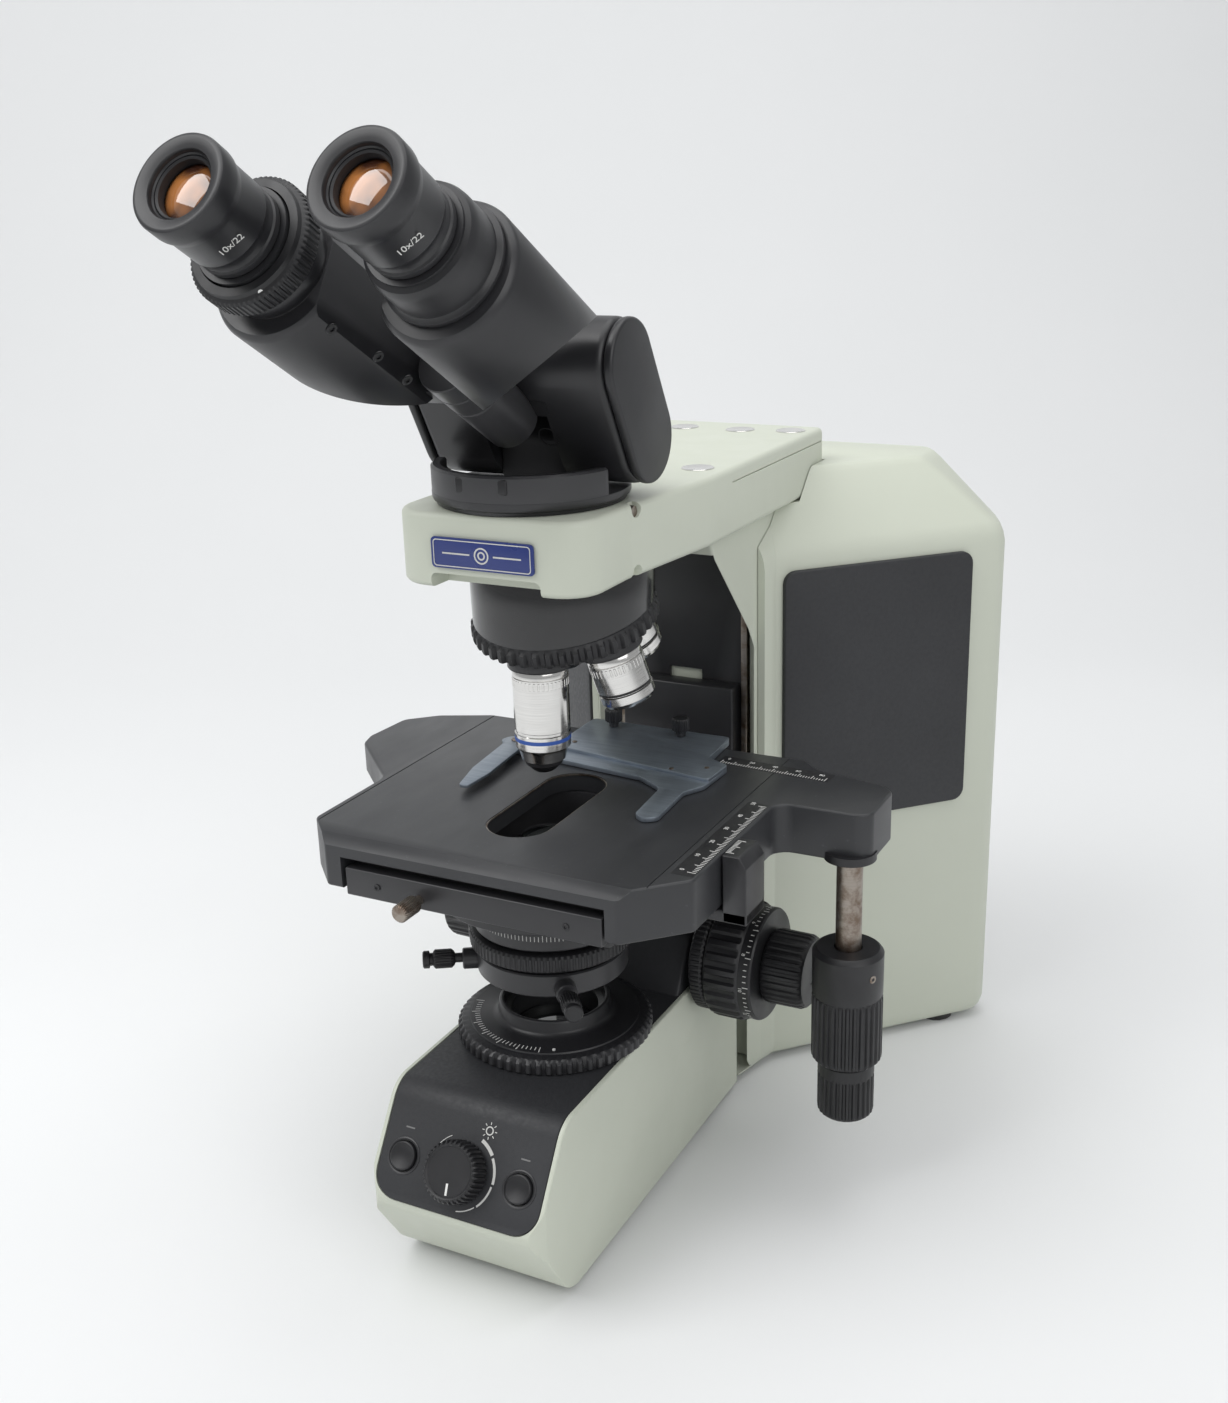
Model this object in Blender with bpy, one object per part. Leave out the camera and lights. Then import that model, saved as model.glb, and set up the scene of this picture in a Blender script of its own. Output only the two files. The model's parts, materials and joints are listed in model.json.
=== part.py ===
"""Upright laboratory microscope with a tilting binocular head.

Lengths are in millimetres and become metres when a mesh is stored.
+Z is up, -Y faces the user, +X is the user's right hand.
The origin is on the optical axis, level with the underside of the base.
"""
import math

import bmesh
import bpy
from mathutils import Matrix, Vector

MM = 0.001
GAP = 0.3            # clearance between pieces that touch
RUNNING = 0.5        # clearance round a piece that turns or slides
FACET = 0.26         # how far a facet's middle lies inside its circle

# Base
BASE_HALF = 47.0     # half width at the foot
BASE_BACK = 124.6    # where the rear cover starts
BASE_TOP = 88.6
NOSE_FRONT = -104.0
NOSE_HEIGHT = 43.0   # height of the foremost edge
CHIN_FRONT = -80.0   # front edge of the flat underside
BASE_WALL = 4.0
PLATE_THICK = 3.0
PANEL_HALF = 45.0
PANEL_THICK = 3.0
PANEL_BEND = (-74.0, BASE_TOP)   # where the sloped front turns into the flat top
FOOT_RADIUS = 9.0
FOOT_HEIGHT = 4.0

# Controls on the sloped panel
CONTROL_HEIGHT = 62.0
LIGHT_KNOB_RADIUS = 15.0
LIGHT_KNOB_HEIGHT = 12.0
BUTTON_RADIUS = 7.0
BUTTON_SPACING = 31.6
BUTTON_STEM = 3.6

# Field diaphragm ring and lens
FIELD_RING_RADIUS = 49.5
FIELD_RING_HEIGHT = 9.5
FIELD_COLLAR_RADIUS = 28.0
FIELD_COLLAR_HEIGHT = 8.0
FIELD_LENS_RADIUS = 21.0

# Focus drive
FOCUS_Y = 82.0
FOCUS_Z = 105.0
CASING_FRONT = 58.0
CASING_TOP = 121.0
CASING_HALF = 46.0
SHAFT_RADIUS = 5.0
COARSE_SHAFT_RADIUS = 9.0
TENSION_X = (CASING_HALF + 3.5, CASING_HALF + 11.5)
TENSION_RADIUS = 30.0
COARSE_X = (CASING_HALF + 12.0, CASING_HALF + 39.0)
COARSE_RADIUS = 32.0
FINE_X = (CASING_HALF + 39.5, CASING_HALF + 62.0)
FINE_RADIUS = 20.0

# Column and rear cover
COLUMN_HALF = 49.0
COLUMN_FRONT = 148.0
COLUMN_BACK = 222.0
RECESS_HALF = 40.5
RECESS_FLOOR = 166.0
RECESS_COVER_FACE = RECESS_FLOOR - 2.5
COLUMN_WEB = 6.0
COLUMN_FOOT_HALF = 43.5
GUSSET_START = 88.0      # y where the arm's underside bends down
GUSSET_LOW = 255.0       # z where the bend reaches the column
COVER_WALL = 4.0
COVER_BACK = 284.0
COVER_RIM = (154.0, 263.0)
COVER_EDGE_HEIGHT = 306.0
COVER_TOP = 346.0
SKIRT_TOP = BASE_TOP
PANEL_LOW = 147.0
PANEL_HIGH = 296.0
PANEL_START = (56.0, 159.5)
PANEL_END = (142.5, 250.5)
SIDE_PANEL_THICK = 2.4

# Arm
ARM_LOW = 330.0
ARM_TOP = 364.0
ARM_FRONT = -44.5
NOSE_HALF = 50.0
ARM_HALF = 58.0
ARM_BACK = 227.0
ARM_CORNER = 18.0
TUBE_SEAT_RADIUS = 30.0
TUBE_SEAT_DEPTH = 8.0
LIGHT_BORE = 20.0
NOTCH_HALF = 28.0     # relief under the nose's front edge
CLAMP_Y = 4.5
CLAMP_Z = ARM_TOP - 4.2
BADGE_HALF = 26.0
BADGE_THICK = 1.5

# Revolving nosepiece
TURRET_Y = 27.0
TURRET_Z = 298.0
TURRET_TILT = 15.0
TURRET_RADIUS = 46.0
TURRET_RIM = 10.0
TURRET_PLACES = 5
OBJECTIVE_RADIUS = 13.5
OBJECTIVE_THREAD = 10.2
BOSS_RADIUS = 15.5
OBJECTIVE_CONE = 14.0    # length of a long objective's tapered end
OBJECTIVES = {           # place on the ring, length, tip radius
    "objective_long": (0, 52.0, 4.5),
    "objective_medium": (-2, 38.0, 6.5),
    "objective_short": (1, 26.0, 11.5),
    "objective_scan": (2, 22.0, 12.0),
}

# Head
FLANGE_RADIUS = 45.5
FLANGE_DISC = 6.0
FLANGE_TOP = ARM_TOP + 18.0
FLANGE_RIM = 5.5
RIM_CUT_Y = -9.0      # the raised rim runs round the front, up to here
PIVOT_Y = 15.0
PIVOT_Z = ARM_TOP + 27.0
PIVOT_RADIUS = 6.0
BLOCK_RADIUS = 20.0
BLOCK_UPPER = (-4.0, ARM_TOP + 62.0)
BLOCK_HALF = 50.0
CAP_THICK = 4.5
TONGUE_HALF = 17.0
TONGUE_RADIUS = 12.0

# Binocular tubes
TUBE_SLOPE = 31.5            # degrees above horizontal
EYE_HALF = 38.0              # half of the distance between the eyepieces
EYE_ABOVE = 8.0              # eyepiece axis above the swing axis
EYE_Y = -170.8
EYE_Z = ARM_TOP + 141.8
SWING = 38.0                 # degrees from widest to narrowest
HOUSING_RADIUS = 30.0
HOUSING_START = -60.0        # along the tube axis, from the eyecup's rim
HOUSING_END = -152.0
HUB_RADIUS = 13.0
HUB_START = -128.0
HUB_HEIGHT = 12.0
HUB_PIN = 5.0
EYEPIECE_RADIUS = 15.0
EYECUP_RADIUS = 19.8
EYE_LENS_RADIUS = 12.5
BARREL_RADIUS = 23.0
DIOPTRE_RADIUS = 27.0
MITRE = (0.557, -0.557, -0.6065)   # outward normal of the facet behind each housing
MITRE_START = -140.0
BARREL_END = -37.0
DIOPTRE_START = -51.0
DIOPTRE_SEAT = 20.0

# Stage
STAGE_TOP = 212.7
STAGE_SLAB = 9.4
STAGE_SKIRT = 25.7
SLOT_HALF = 16.5
SLOT_LENGTH = 43.0
SLOT_Y = 2.0
STAGE_TRAVEL_Y = 26.0
STAGE_TRAVEL_X = 38.0
STAGE_BASE_HALF = 68.0
STAGE_FRONT = -74.0
HANDLE_X = 136.0
HANDLE_Y = 55.0
HANDLE_RADIUS = 6.5
Y_KNOB_RADIUS = 18.0
Y_KNOB_Z = (78.0, 139.0)
X_KNOB_RADIUS = 14.5
X_KNOB_Z = (47.0, 77.4)
HOLDER_THICK = 4.0

# Condenser and stage carrier
CARRIER_LOW = 170.0
CARRIER_HIGH = 179.7
CARRIER_BACK = 151.0
CARRIER_HALF = 34.0
CONDENSER_RING_Z = (142.5, 151.5)
CONDENSER_RING_RADIUS = 41.0
CONDENSER_BODY_RADIUS = 38.5
CONDENSER_SLEEVE_RADIUS = 30.0
CONDENSER_TOP_RADIUS = 15.0
CONDENSER_TOP = 198.0
CONDENSER_BOTTOM = 131.0
HOLDER_RING_RADIUS = 38.0
CONDENSER_KNOB_Y = 132.0
CONDENSER_KNOB_Z = 156.0
SCREW_ANGLES = {"left": -148.0, "right": -52.0}   # centring screws, round the condenser


# ---------------------------------------------------------------- materials
def material(name, colour, roughness, metallic=0.0, alpha=1.0):
    mat = bpy.data.materials.new(name)
    mat.use_nodes = True
    shader = mat.node_tree.nodes["Principled BSDF"]
    shader.inputs["Base Color"].default_value = (*colour, 1.0)
    shader.inputs["Roughness"].default_value = roughness
    shader.inputs["Metallic"].default_value = metallic
    shader.inputs["Alpha"].default_value = alpha
    return mat


# ------------------------------------------------------------ mesh building
def box(low, high):
    """A block between two corners."""
    bm = bmesh.new()
    size = [high[i] - low[i] for i in range(3)]
    middle = [(high[i] + low[i]) / 2 for i in range(3)]
    bmesh.ops.create_cube(bm, size=1.0)
    bmesh.ops.scale(bm, vec=size, verts=bm.verts)
    bmesh.ops.translate(bm, vec=middle, verts=bm.verts)
    return bm


def prism(outline, low, high, axis="Z"):
    """An outline pushed along an axis: X reads it as (y, z), Y as (x, z), Z as (x, y)."""
    bm = bmesh.new()
    place = {
        "X": lambda a, b, c: (c, a, b),
        "Y": lambda a, b, c: (a, c, b),
        "Z": lambda a, b, c: (a, b, c),
    }[axis]
    bottom = [bm.verts.new(place(a, b, low)) for a, b in outline]
    top = [bm.verts.new(place(a, b, high)) for a, b in outline]
    count = len(outline)
    bm.faces.new(bottom)
    bm.faces.new(top)
    for i in range(count):
        j = (i + 1) % count
        bm.faces.new((bottom[i], bottom[j], top[j], top[i]))
    bmesh.ops.recalc_face_normals(bm, faces=bm.faces)
    return bm


def steps_round(radius):
    """Enough sides for facets that stay closer to the circle than the clearances."""
    return 2 * math.ceil(math.pi / (2 * math.acos(1 - FACET / radius)))


def turned(profile):
    """A closed (radius, height) outline turned round +Z."""
    bm = bmesh.new()
    rings = []
    segments = steps_round(max(radius for radius, height in profile))
    angles = [2 * math.pi * k / segments for k in range(segments)]
    for radius, height in profile:
        if radius == 0:
            rings.append([bm.verts.new((0, 0, height))])
            continue
        ring_points = [(radius * math.cos(a), radius * math.sin(a), height) for a in angles]
        rings.append([bm.verts.new(point) for point in ring_points])
    for ring, following in zip(rings, rings[1:] + rings[:1]):
        if len(ring) == 1 and len(following) == 1:
            continue
        for k in range(segments):
            n = (k + 1) % segments
            corners = [ring[k % len(ring)], ring[n % len(ring)], following[n % len(following)],
                       following[k % len(following)]]
            bm.faces.new(list(dict.fromkeys(corners)))
    bmesh.ops.recalc_face_normals(bm, faces=bm.faces)
    return bm


def disc(radius, low, high, centre=(0, 0)):
    """A plain round bar along +Z."""
    bm = turned([(0, low), (radius, low), (radius, high), (0, high)])
    bmesh.ops.translate(bm, vec=(*centre, 0), verts=bm.verts)
    return bm


def ring(inner, outer, low, high):
    """A plain tube along +Z."""
    return turned([(inner, low), (outer, low), (outer, high), (inner, high)])


def along(axis, bm, origin=(0, 0, 0)):
    """Turn a +Z shape to point along another axis, then move it."""
    turn = {
        "X": Matrix.Rotation(math.radians(90), 4, "Y"),
        "Y": Matrix.Rotation(math.radians(-90), 4, "X"),
    }[axis]
    bmesh.ops.transform(bm, matrix=Matrix.Translation(origin) @ turn, verts=bm.verts)
    return bm


def moved(bm, matrix):
    bmesh.ops.transform(bm, matrix=matrix, verts=bm.verts)
    return bm


def slice_off(bm, point, normal):
    """Remove what lies on the normal's side of a plane and close the cut."""
    everything = list(bm.verts) + list(bm.edges) + list(bm.faces)
    bmesh.ops.bisect_plane(bm, geom=everything, plane_co=point, plane_no=normal, clear_outer=True, dist=1e-4)
    open_edges = [edge for edge in bm.edges if edge.is_boundary]
    bmesh.ops.holes_fill(bm, edges=open_edges, sides=0)
    bmesh.ops.recalc_face_normals(bm, faces=bm.faces)
    return bm


def stadium(lower, upper, radius, steps=7):
    """Outline round two centres, in order round the shape."""
    start = math.atan2(upper[1] - lower[1], upper[0] - lower[0])
    points = []
    for centre, first in ((upper, start - math.pi / 2), (lower, start + math.pi / 2)):
        for k in range(steps + 1):
            angle = first + math.pi * k / steps
            points.append((centre[0] + radius * math.cos(angle), centre[1] + radius * math.sin(angle)))
    return points


def mirrored(half):
    """A left half added to a right half outline that runs front to back."""
    return half + [(-x, y) for x, y in reversed(half)]


# ------------------------------------------------------------------ objects
def store(name, bm, scale=MM):
    mesh = bpy.data.meshes.new(name)
    bmesh.ops.scale(bm, vec=(scale,) * 3, verts=bm.verts)
    bm.to_mesh(mesh)
    bm.free()
    mesh.shade_smooth()
    mesh.set_sharp_from_angle(angle=math.radians(30))
    obj = bpy.data.objects.new(name, mesh)
    bpy.context.collection.objects.link(obj)
    return obj


def piece(name, bm, mat, axis_at=None, parent=None):
    """Add a sub-part. Its mesh is in world millimetres, or in its parent's when it has one."""
    if axis_at is not None:
        bmesh.ops.translate(bm, vec=[-c for c in axis_at], verts=bm.verts)
    obj = store(name, bm)
    obj.data.materials.append(mat)
    if axis_at is not None:
        obj.location = [c * MM for c in axis_at]
    obj.parent = parent
    return obj


def change(obj, bm, operation, axis_at=None):
    """Add a Boolean of another shape, given in the same millimetres as the sub-part was."""
    if axis_at is not None:
        bmesh.ops.translate(bm, vec=[-c for c in axis_at], verts=bm.verts)
    tool = store(obj.name + "_tool", bm)
    tool.location = obj.location
    tool.parent = obj.parent
    tool.hide_render = True
    tool.display_type = "WIRE"
    boolean = obj.modifiers.new(operation.lower(), "BOOLEAN")
    boolean.operation = operation
    boolean.solver = "EXACT"
    boolean.object = tool


def cut(obj, bm, axis_at=None):
    change(obj, bm, "DIFFERENCE", axis_at)


def join(obj, bm, axis_at=None):
    change(obj, bm, "UNION", axis_at)


def pivot(name, location, rotation=(0, 0, 0), parent=None):
    """An empty on a joint's axis."""
    empty = bpy.data.objects.new(name, None)
    bpy.context.collection.objects.link(empty)
    empty.location = [c * MM for c in location]
    empty.rotation_euler = rotation
    empty.parent = parent
    return empty


# --------------------------------------------------------------- sub-parts
def side_profile():
    """The base seen from the side, (y, z), front underside first."""
    return [(CHIN_FRONT, 0.0), (BASE_BACK, 0.0), (BASE_BACK, BASE_TOP), PANEL_BEND, (NOSE_FRONT, NOSE_HEIGHT)]


def panel_slope():
    """Unit vectors (y, z) up the sloped panel and out of it."""
    run = Vector((PANEL_BEND[0] - NOSE_FRONT, PANEL_BEND[1] - NOSE_HEIGHT)).normalized()
    return run, Vector((-run.y, run.x))


def control_point(height, lift=0.0):
    """Where a control sits on the sloped panel, lifted off its base surface."""
    run, out = panel_slope()
    foot = Vector((NOSE_FRONT, NOSE_HEIGHT)) + run * ((height - NOSE_HEIGHT) / run.y)
    return foot + out * (GAP + PANEL_THICK + lift)


def make_base(cream, steel):
    """The hollow base with its sloped front, and the plate with six feet that closes it."""
    body = piece("base_housing", prism(side_profile(), -BASE_HALF, BASE_HALF, "X"), cream)
    inner = [(CHIN_FRONT + 10, -5), (BASE_BACK - BASE_WALL, -5), (BASE_BACK - BASE_WALL, BASE_TOP - BASE_WALL),
             (PANEL_BEND[0] + 4, BASE_TOP - BASE_WALL), (NOSE_FRONT + 13, NOSE_HEIGHT)]
    cut(body, prism(inner, -BASE_HALF + BASE_WALL, BASE_HALF - BASE_WALL, "X"))
    inside = BASE_HALF - BASE_WALL
    cut(body, box((-inside, BASE_BACK - BASE_WALL - 5, -5), (inside, BASE_BACK + 5, PLATE_THICK + GAP)))
    cut(body, disc(FIELD_LENS_RADIUS + GAP, BASE_TOP - 12, BASE_TOP + 5))
    knob = control_point(CONTROL_HEIGHT, -PANEL_THICK)
    cut(body, tilted(disc(SHAFT_RADIUS, -16, 6), 0, knob))
    for side in (-1, 1):
        cut(body, tilted(disc(BUTTON_STEM + RUNNING, -16, 6), side * BUTTON_SPACING, knob))

    inside -= GAP
    rear = Vector(COVER_RIM)
    margin = COVER_WALL + 2.0
    outline = mirrored([(inside, CHIN_FRONT + 10 + GAP), (inside - 1.5, BASE_BACK - BASE_WALL - 2 * GAP),
                        (COLUMN_FOOT_HALF - 3, COLUMN_FRONT - RUNNING - 1), (COLUMN_FOOT_HALF - 3, COLUMN_BACK),
                        (rear.x - 48, COLUMN_BACK + 6), (rear.x - 16, rear.y - margin), (rear.x - 20, COVER_BACK - 8)])
    plate = piece("base_plate", prism(outline, 0.0, PLATE_THICK), steel)
    spots = [(30, CHIN_FRONT + 28), (30, BASE_BACK - 18), (rear.x - 28, rear.y - 9)]
    for x, y in spots + [(-x, y) for x, y in spots]:
        join(plate, disc(FOOT_RADIUS, -FOOT_HEIGHT, 1.0, (x, y)))


def tilted(bm, x, place):
    """Stand a +Z shape on the sloped panel."""
    run, out = panel_slope()
    angle = math.atan2(out.x, out.y)
    matrix = Matrix.Translation((x, place.x, place.y)) @ Matrix.Rotation(-angle, 4, "X")
    return moved(bm, matrix)


def make_panel(black, knob_black):
    """The dark cover: sloped front, flat top and the casing of the focus drive."""
    run, out = panel_slope()
    low = Vector((NOSE_FRONT, NOSE_HEIGHT)) + run * 4 + out * GAP
    lean = PANEL_THICK * math.tan(math.atan2(run.y, run.x) / 2)
    base = BASE_TOP + GAP
    corner = Vector((PANEL_BEND[0] - GAP * math.tan(math.atan2(run.y, run.x) / 2), base))
    outer_low = low + out * PANEL_THICK
    outer_bend = (corner.x - lean, base + PANEL_THICK)
    outline = [tuple(low), tuple(corner), (CASING_FRONT, base), (COLUMN_FRONT - GAP, base),
               (COLUMN_FRONT - GAP, CASING_TOP), (CASING_FRONT + 12, CASING_TOP),
               (CASING_FRONT, base + PANEL_THICK + 8), (CASING_FRONT - 8, base + PANEL_THICK),
               outer_bend, tuple(outer_low)]
    panel = piece("control_panel", prism(outline, -PANEL_HALF, PANEL_HALF, "X"), black)
    cut(panel, disc(FIELD_LENS_RADIUS + GAP, base - 5, base + 10))
    bore = along("X", disc(COARSE_SHAFT_RADIUS + GAP, -PANEL_HALF - 5, PANEL_HALF + 5), (0, FOCUS_Y, FOCUS_Z))
    cut(panel, bore)
    for side in (-1, 1):
        boss_radius = FOCUS_Z - BASE_TOP - 1.0
        boss = along("X", ring(COARSE_SHAFT_RADIUS + GAP, boss_radius, 0, CASING_HALF + 3.0 - PANEL_HALF + 1.0))
        boss = moved(boss, Matrix.Translation((PANEL_HALF - 1.0, FOCUS_Y, FOCUS_Z)))
        if side < 0:
            boss = moved(boss, Matrix.Scale(-1, 4, (1, 0, 0)))
            bmesh.ops.reverse_faces(boss, faces=boss.faces)
        join(panel, boss)
    place = control_point(CONTROL_HEIGHT)
    under = control_point(CONTROL_HEIGHT, -PANEL_THICK)
    cut(panel, tilted(disc(SHAFT_RADIUS, -6, 8), 0, under))
    for side in (-1, 1):
        cut(panel, tilted(disc(BUTTON_RADIUS + GAP, -6, 8), side * BUTTON_SPACING, under))

    angle = math.atan2(out.x, out.y)
    turn = (-angle, 0, 0)
    knob_axis = pivot("light_knob_axis", (0, place.x, place.y), turn)
    stem = SHAFT_RADIUS - RUNNING
    profile = [(0, -12), (stem, -12), (stem, GAP), (LIGHT_KNOB_RADIUS, GAP),
               (LIGHT_KNOB_RADIUS - 1.0, LIGHT_KNOB_HEIGHT - 1), (LIGHT_KNOB_RADIUS - 2.5, LIGHT_KNOB_HEIGHT),
               (0, LIGHT_KNOB_HEIGHT)]
    piece("light_knob", turned(profile), knob_black, parent=knob_axis)
    for side, name in ((-1, "button_left"), (1, "button_right")):
        axis = pivot(name + "_axis", (side * BUTTON_SPACING, place.x, place.y), turn)
        profile = [(0, -8), (BUTTON_STEM, -8), (BUTTON_STEM, -1.5), (BUTTON_RADIUS, -1.5), (BUTTON_RADIUS, 1.2),
                   (BUTTON_RADIUS - 1, 2.0), (0, 2.0)]
        piece(name, turned(profile), knob_black, parent=axis)


def make_light_path(glass, mirror, board):
    """What sits inside the base and sends the light up through the condenser."""
    floor = PLATE_THICK + GAP
    wedge = [(-22, floor), (22, floor), (22, floor + 44), (18, floor + 44)]
    piece("mirror_mount", prism(wedge, -20, 20, "X"), mirror)
    lamp = piece("lamp_board", box((-20, 92, floor), (20, 96, floor + 46)), board)
    join(lamp, along("Y", disc(9, 0, 8), (0, 84.5, floor + 22)))
    lens = [(0, BASE_TOP - 6), (FIELD_LENS_RADIUS, BASE_TOP - 3), (FIELD_LENS_RADIUS, BASE_TOP + 4),
            (0, BASE_TOP + 8)]
    piece("field_lens", turned(lens), glass)


def make_field_ring(black):
    """The wide ribbed ring of the field diaphragm, with the collar round its lens."""
    low = BASE_TOP + GAP + PANEL_THICK + GAP
    top = low + FIELD_RING_HEIGHT
    collar = FIELD_COLLAR_RADIUS
    bore = FIELD_LENS_RADIUS + RUNNING
    profile = [(bore, low), (FIELD_RING_RADIUS, low), (FIELD_RING_RADIUS, top - 1.5),
               (FIELD_RING_RADIUS - 2, top), (collar + 2, top), (collar, top + 1.5),
               (collar, top + FIELD_COLLAR_HEIGHT), (collar - 3, top + FIELD_COLLAR_HEIGHT), (bore, top + 2)]
    piece("field_ring", turned(profile), black)


def make_column(cream, dark):
    """U-shaped casting with a recess in front, open behind, and the gusset under the arm."""
    head = ARM_LOW - GAP
    foot = PLATE_THICK + GAP
    outline = [(COLUMN_FRONT, foot), (COLUMN_BACK, foot), (COLUMN_BACK, head), (GUSSET_START, head),
               (GUSSET_START + 6, head - 12), (COLUMN_FRONT - 8, GUSSET_LOW + 12), (COLUMN_FRONT, GUSSET_LOW)]
    column = piece("column", prism(outline, -COLUMN_HALF, COLUMN_HALF, "X"), cream)
    pocket = [(RECESS_HALF + 8.2, COLUMN_FRONT - 1), (RECESS_HALF, COLUMN_FRONT + 12), (RECESS_HALF, RECESS_FLOOR)]
    pocket = [(RECESS_HALF + 8.2, GUSSET_START - 10)] + pocket
    cut(column, prism(mirrored(pocket), SKIRT_TOP, head - 10))
    web = RECESS_FLOOR + COLUMN_WEB
    cut(column, box((-COLUMN_HALF + 6, web, 8), (COLUMN_HALF - 6, COLUMN_BACK + 5, head - 8)))
    for side in (-1, 1):
        inner, outer = sorted((side * COLUMN_FOOT_HALF, side * (COLUMN_HALF + 5)))
        cut(column, box((inner, COLUMN_FRONT - 5, -5), (outer, COLUMN_BACK + 5, SKIRT_TOP + GAP)))
    cover = box((-RECESS_HALF + GAP, RECESS_COVER_FACE, SKIRT_TOP + 30),
                (RECESS_HALF - GAP, RECESS_FLOOR - GAP, head - 12))
    cover = piece("recess_cover", cover, dark)
    cut(cover, box((-10, RECESS_FLOOR - 5, SKIRT_TOP + 20), (10, RECESS_FLOOR + 5, 235)))


def cover_outline():
    """Right half of the rear cover in plan, front to back."""
    rim = Vector(COVER_RIM)
    return [(BASE_HALF + GAP, BASE_BACK + GAP), (52.5, 147.0), PANEL_START, PANEL_END, tuple(rim),
            (rim.x - 1.0, rim.y + 7), (rim.x - 12, COVER_BACK), (0.0, COVER_BACK)]


def inset(outline, distance):
    """Each corner of a convex-ish outline moved inward along its corner's bisector."""
    result = []
    for i, point in enumerate(outline):
        before = Vector(outline[max(i - 1, 0)])
        after = Vector(outline[min(i + 1, len(outline) - 1)])
        here = Vector(point)
        normals = []
        for a, b in ((before, here), (here, after)):
            if (b - a).length > 0:
                direction = (b - a).normalized()
                normals.append(Vector((-direction.y, direction.x)))
        bisector = sum(normals, Vector((0, 0))) / len(normals)
        bisector /= max(bisector.length_squared, 0.25)
        moved_to = here + bisector * distance
        result.append((max(moved_to.x, 0.0) if point[0] else 0.0, moved_to.y))
    return result


def loft(levels):
    """A closed solid through outlines of as many points, each at its own height."""
    bm = bmesh.new()
    rings = [[bm.verts.new((x, y, z)) for x, y in outline] for outline, z in levels]
    count = len(rings[0])
    for low, high in zip(rings, rings[1:]):
        for i in range(count):
            j = (i + 1) % count
            bm.faces.new((low[i], low[j], high[j], high[i]))
    bm.faces.new(rings[0])
    bm.faces.new(rings[-1])
    bmesh.ops.recalc_face_normals(bm, faces=bm.faces)
    return bm


def make_rear(cream, black, plastic):
    """The wide rear cover with its two slanting dark panels, and the plate that closes it."""
    half = cover_outline()[:-1]
    crown = [(40.0, 176.0), (38.0, 184.0), (36.0, 196.0), (98.0, 258.0), (104.0, 264.0), (104.0, 272.0),
             (100.0, COVER_BACK)]
    cover = piece("rear_cover", loft([(mirrored(half), 0.0), (mirrored(half), COVER_EDGE_HEIGHT),
                                      (mirrored(crown), COVER_TOP)]), cream)
    hollow = inset(half + [(0.0, COVER_BACK)], COVER_WALL)[:-1]
    hollow[0] = (COLUMN_FOOT_HALF + GAP, BASE_BACK - 5)
    hollow[1] = (COLUMN_HALF + GAP, COLUMN_FRONT - 2)
    hollow[-1] = (hollow[-1][0], COVER_BACK - COVER_WALL)
    crown_hollow = [(x - 3, y) for x, y in crown]
    crown_hollow[-1] = (crown_hollow[-1][0], COVER_BACK - COVER_WALL)
    cut(cover, loft([(mirrored(hollow), -5.0), (mirrored(hollow), COVER_EDGE_HEIGHT - 2),
                     (mirrored(crown_hollow), COVER_TOP - COVER_WALL)]))
    column = COLUMN_HALF + GAP
    cut(cover, box((-column - 20, BASE_BACK - 10, SKIRT_TOP), (column + 20, COLUMN_FRONT + 2, COVER_TOP + 5)))
    cut(cover, box((-column, COLUMN_FRONT - 30, COVER_EDGE_HEIGHT - 16), (column, COLUMN_BACK + GAP, ARM_LOW + 5)))
    arm = ARM_HALF + GAP
    cut(cover, box((-arm, COLUMN_FRONT - 40, ARM_LOW - GAP), (arm, ARM_BACK + GAP, COVER_TOP + 10)))
    opening = 88.0
    cut(cover, box((-opening, COVER_BACK - 10, 14), (opening, COVER_BACK + 5, 300)))

    start, end = Vector(PANEL_START), Vector(PANEL_END)
    along_wall = (end - start).normalized()
    out = Vector((along_wall.y, -along_wall.x))
    a = start + along_wall * 4.0
    b = end - along_wall * 6.0
    for side, name in ((1, "side_panel_right"), (-1, "side_panel_left")):
        face = GAP + SIDE_PANEL_THICK
        corners = [a + out * GAP, b + out * GAP, b + out * face, a + out * face]
        outline = [(side * c.x, c.y) for c in corners]
        piece(name, prism(outline, PANEL_LOW, PANEL_HIGH), black)

    back = box((-opening + GAP, COVER_BACK - 3.0, 14 + GAP), (opening - GAP, COVER_BACK, 300 - GAP))
    back = piece("rear_panel", back, plastic)
    cut(back, box((-60, COVER_BACK - 10, 30), (-32, COVER_BACK + 5, 52)))
    cut(back, box((32, COVER_BACK - 10, 30), (46, COVER_BACK + 5, 52)))
    inlet = box((-60 + GAP, COVER_BACK - 22, 30 + GAP), (-32 - GAP, COVER_BACK + 1, 52 - GAP))
    inlet = piece("power_inlet", inlet, black)
    cut(inlet, box((-57, COVER_BACK - 16, 33.5), (-35, COVER_BACK + 5, 48.5)))
    rocker = [(COVER_BACK - 5, 31), (COVER_BACK + 0.2, 31), (COVER_BACK + 2.6, 50.6), (COVER_BACK - 5, 50.6)]
    middle = (39, COVER_BACK - 4, 41)
    piece("power_switch", prism(rocker, 32 + RUNNING, 46 - RUNNING, "X"), black, axis_at=middle)


def arc(centre, radius, first, last, steps=5):
    """Points on an arc, in degrees."""
    return [(centre[0] + radius * math.cos(math.radians(first + (last - first) * k / steps)),
             centre[1] + radius * math.sin(math.radians(first + (last - first) * k / steps)))
            for k in range(steps + 1)]


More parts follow.
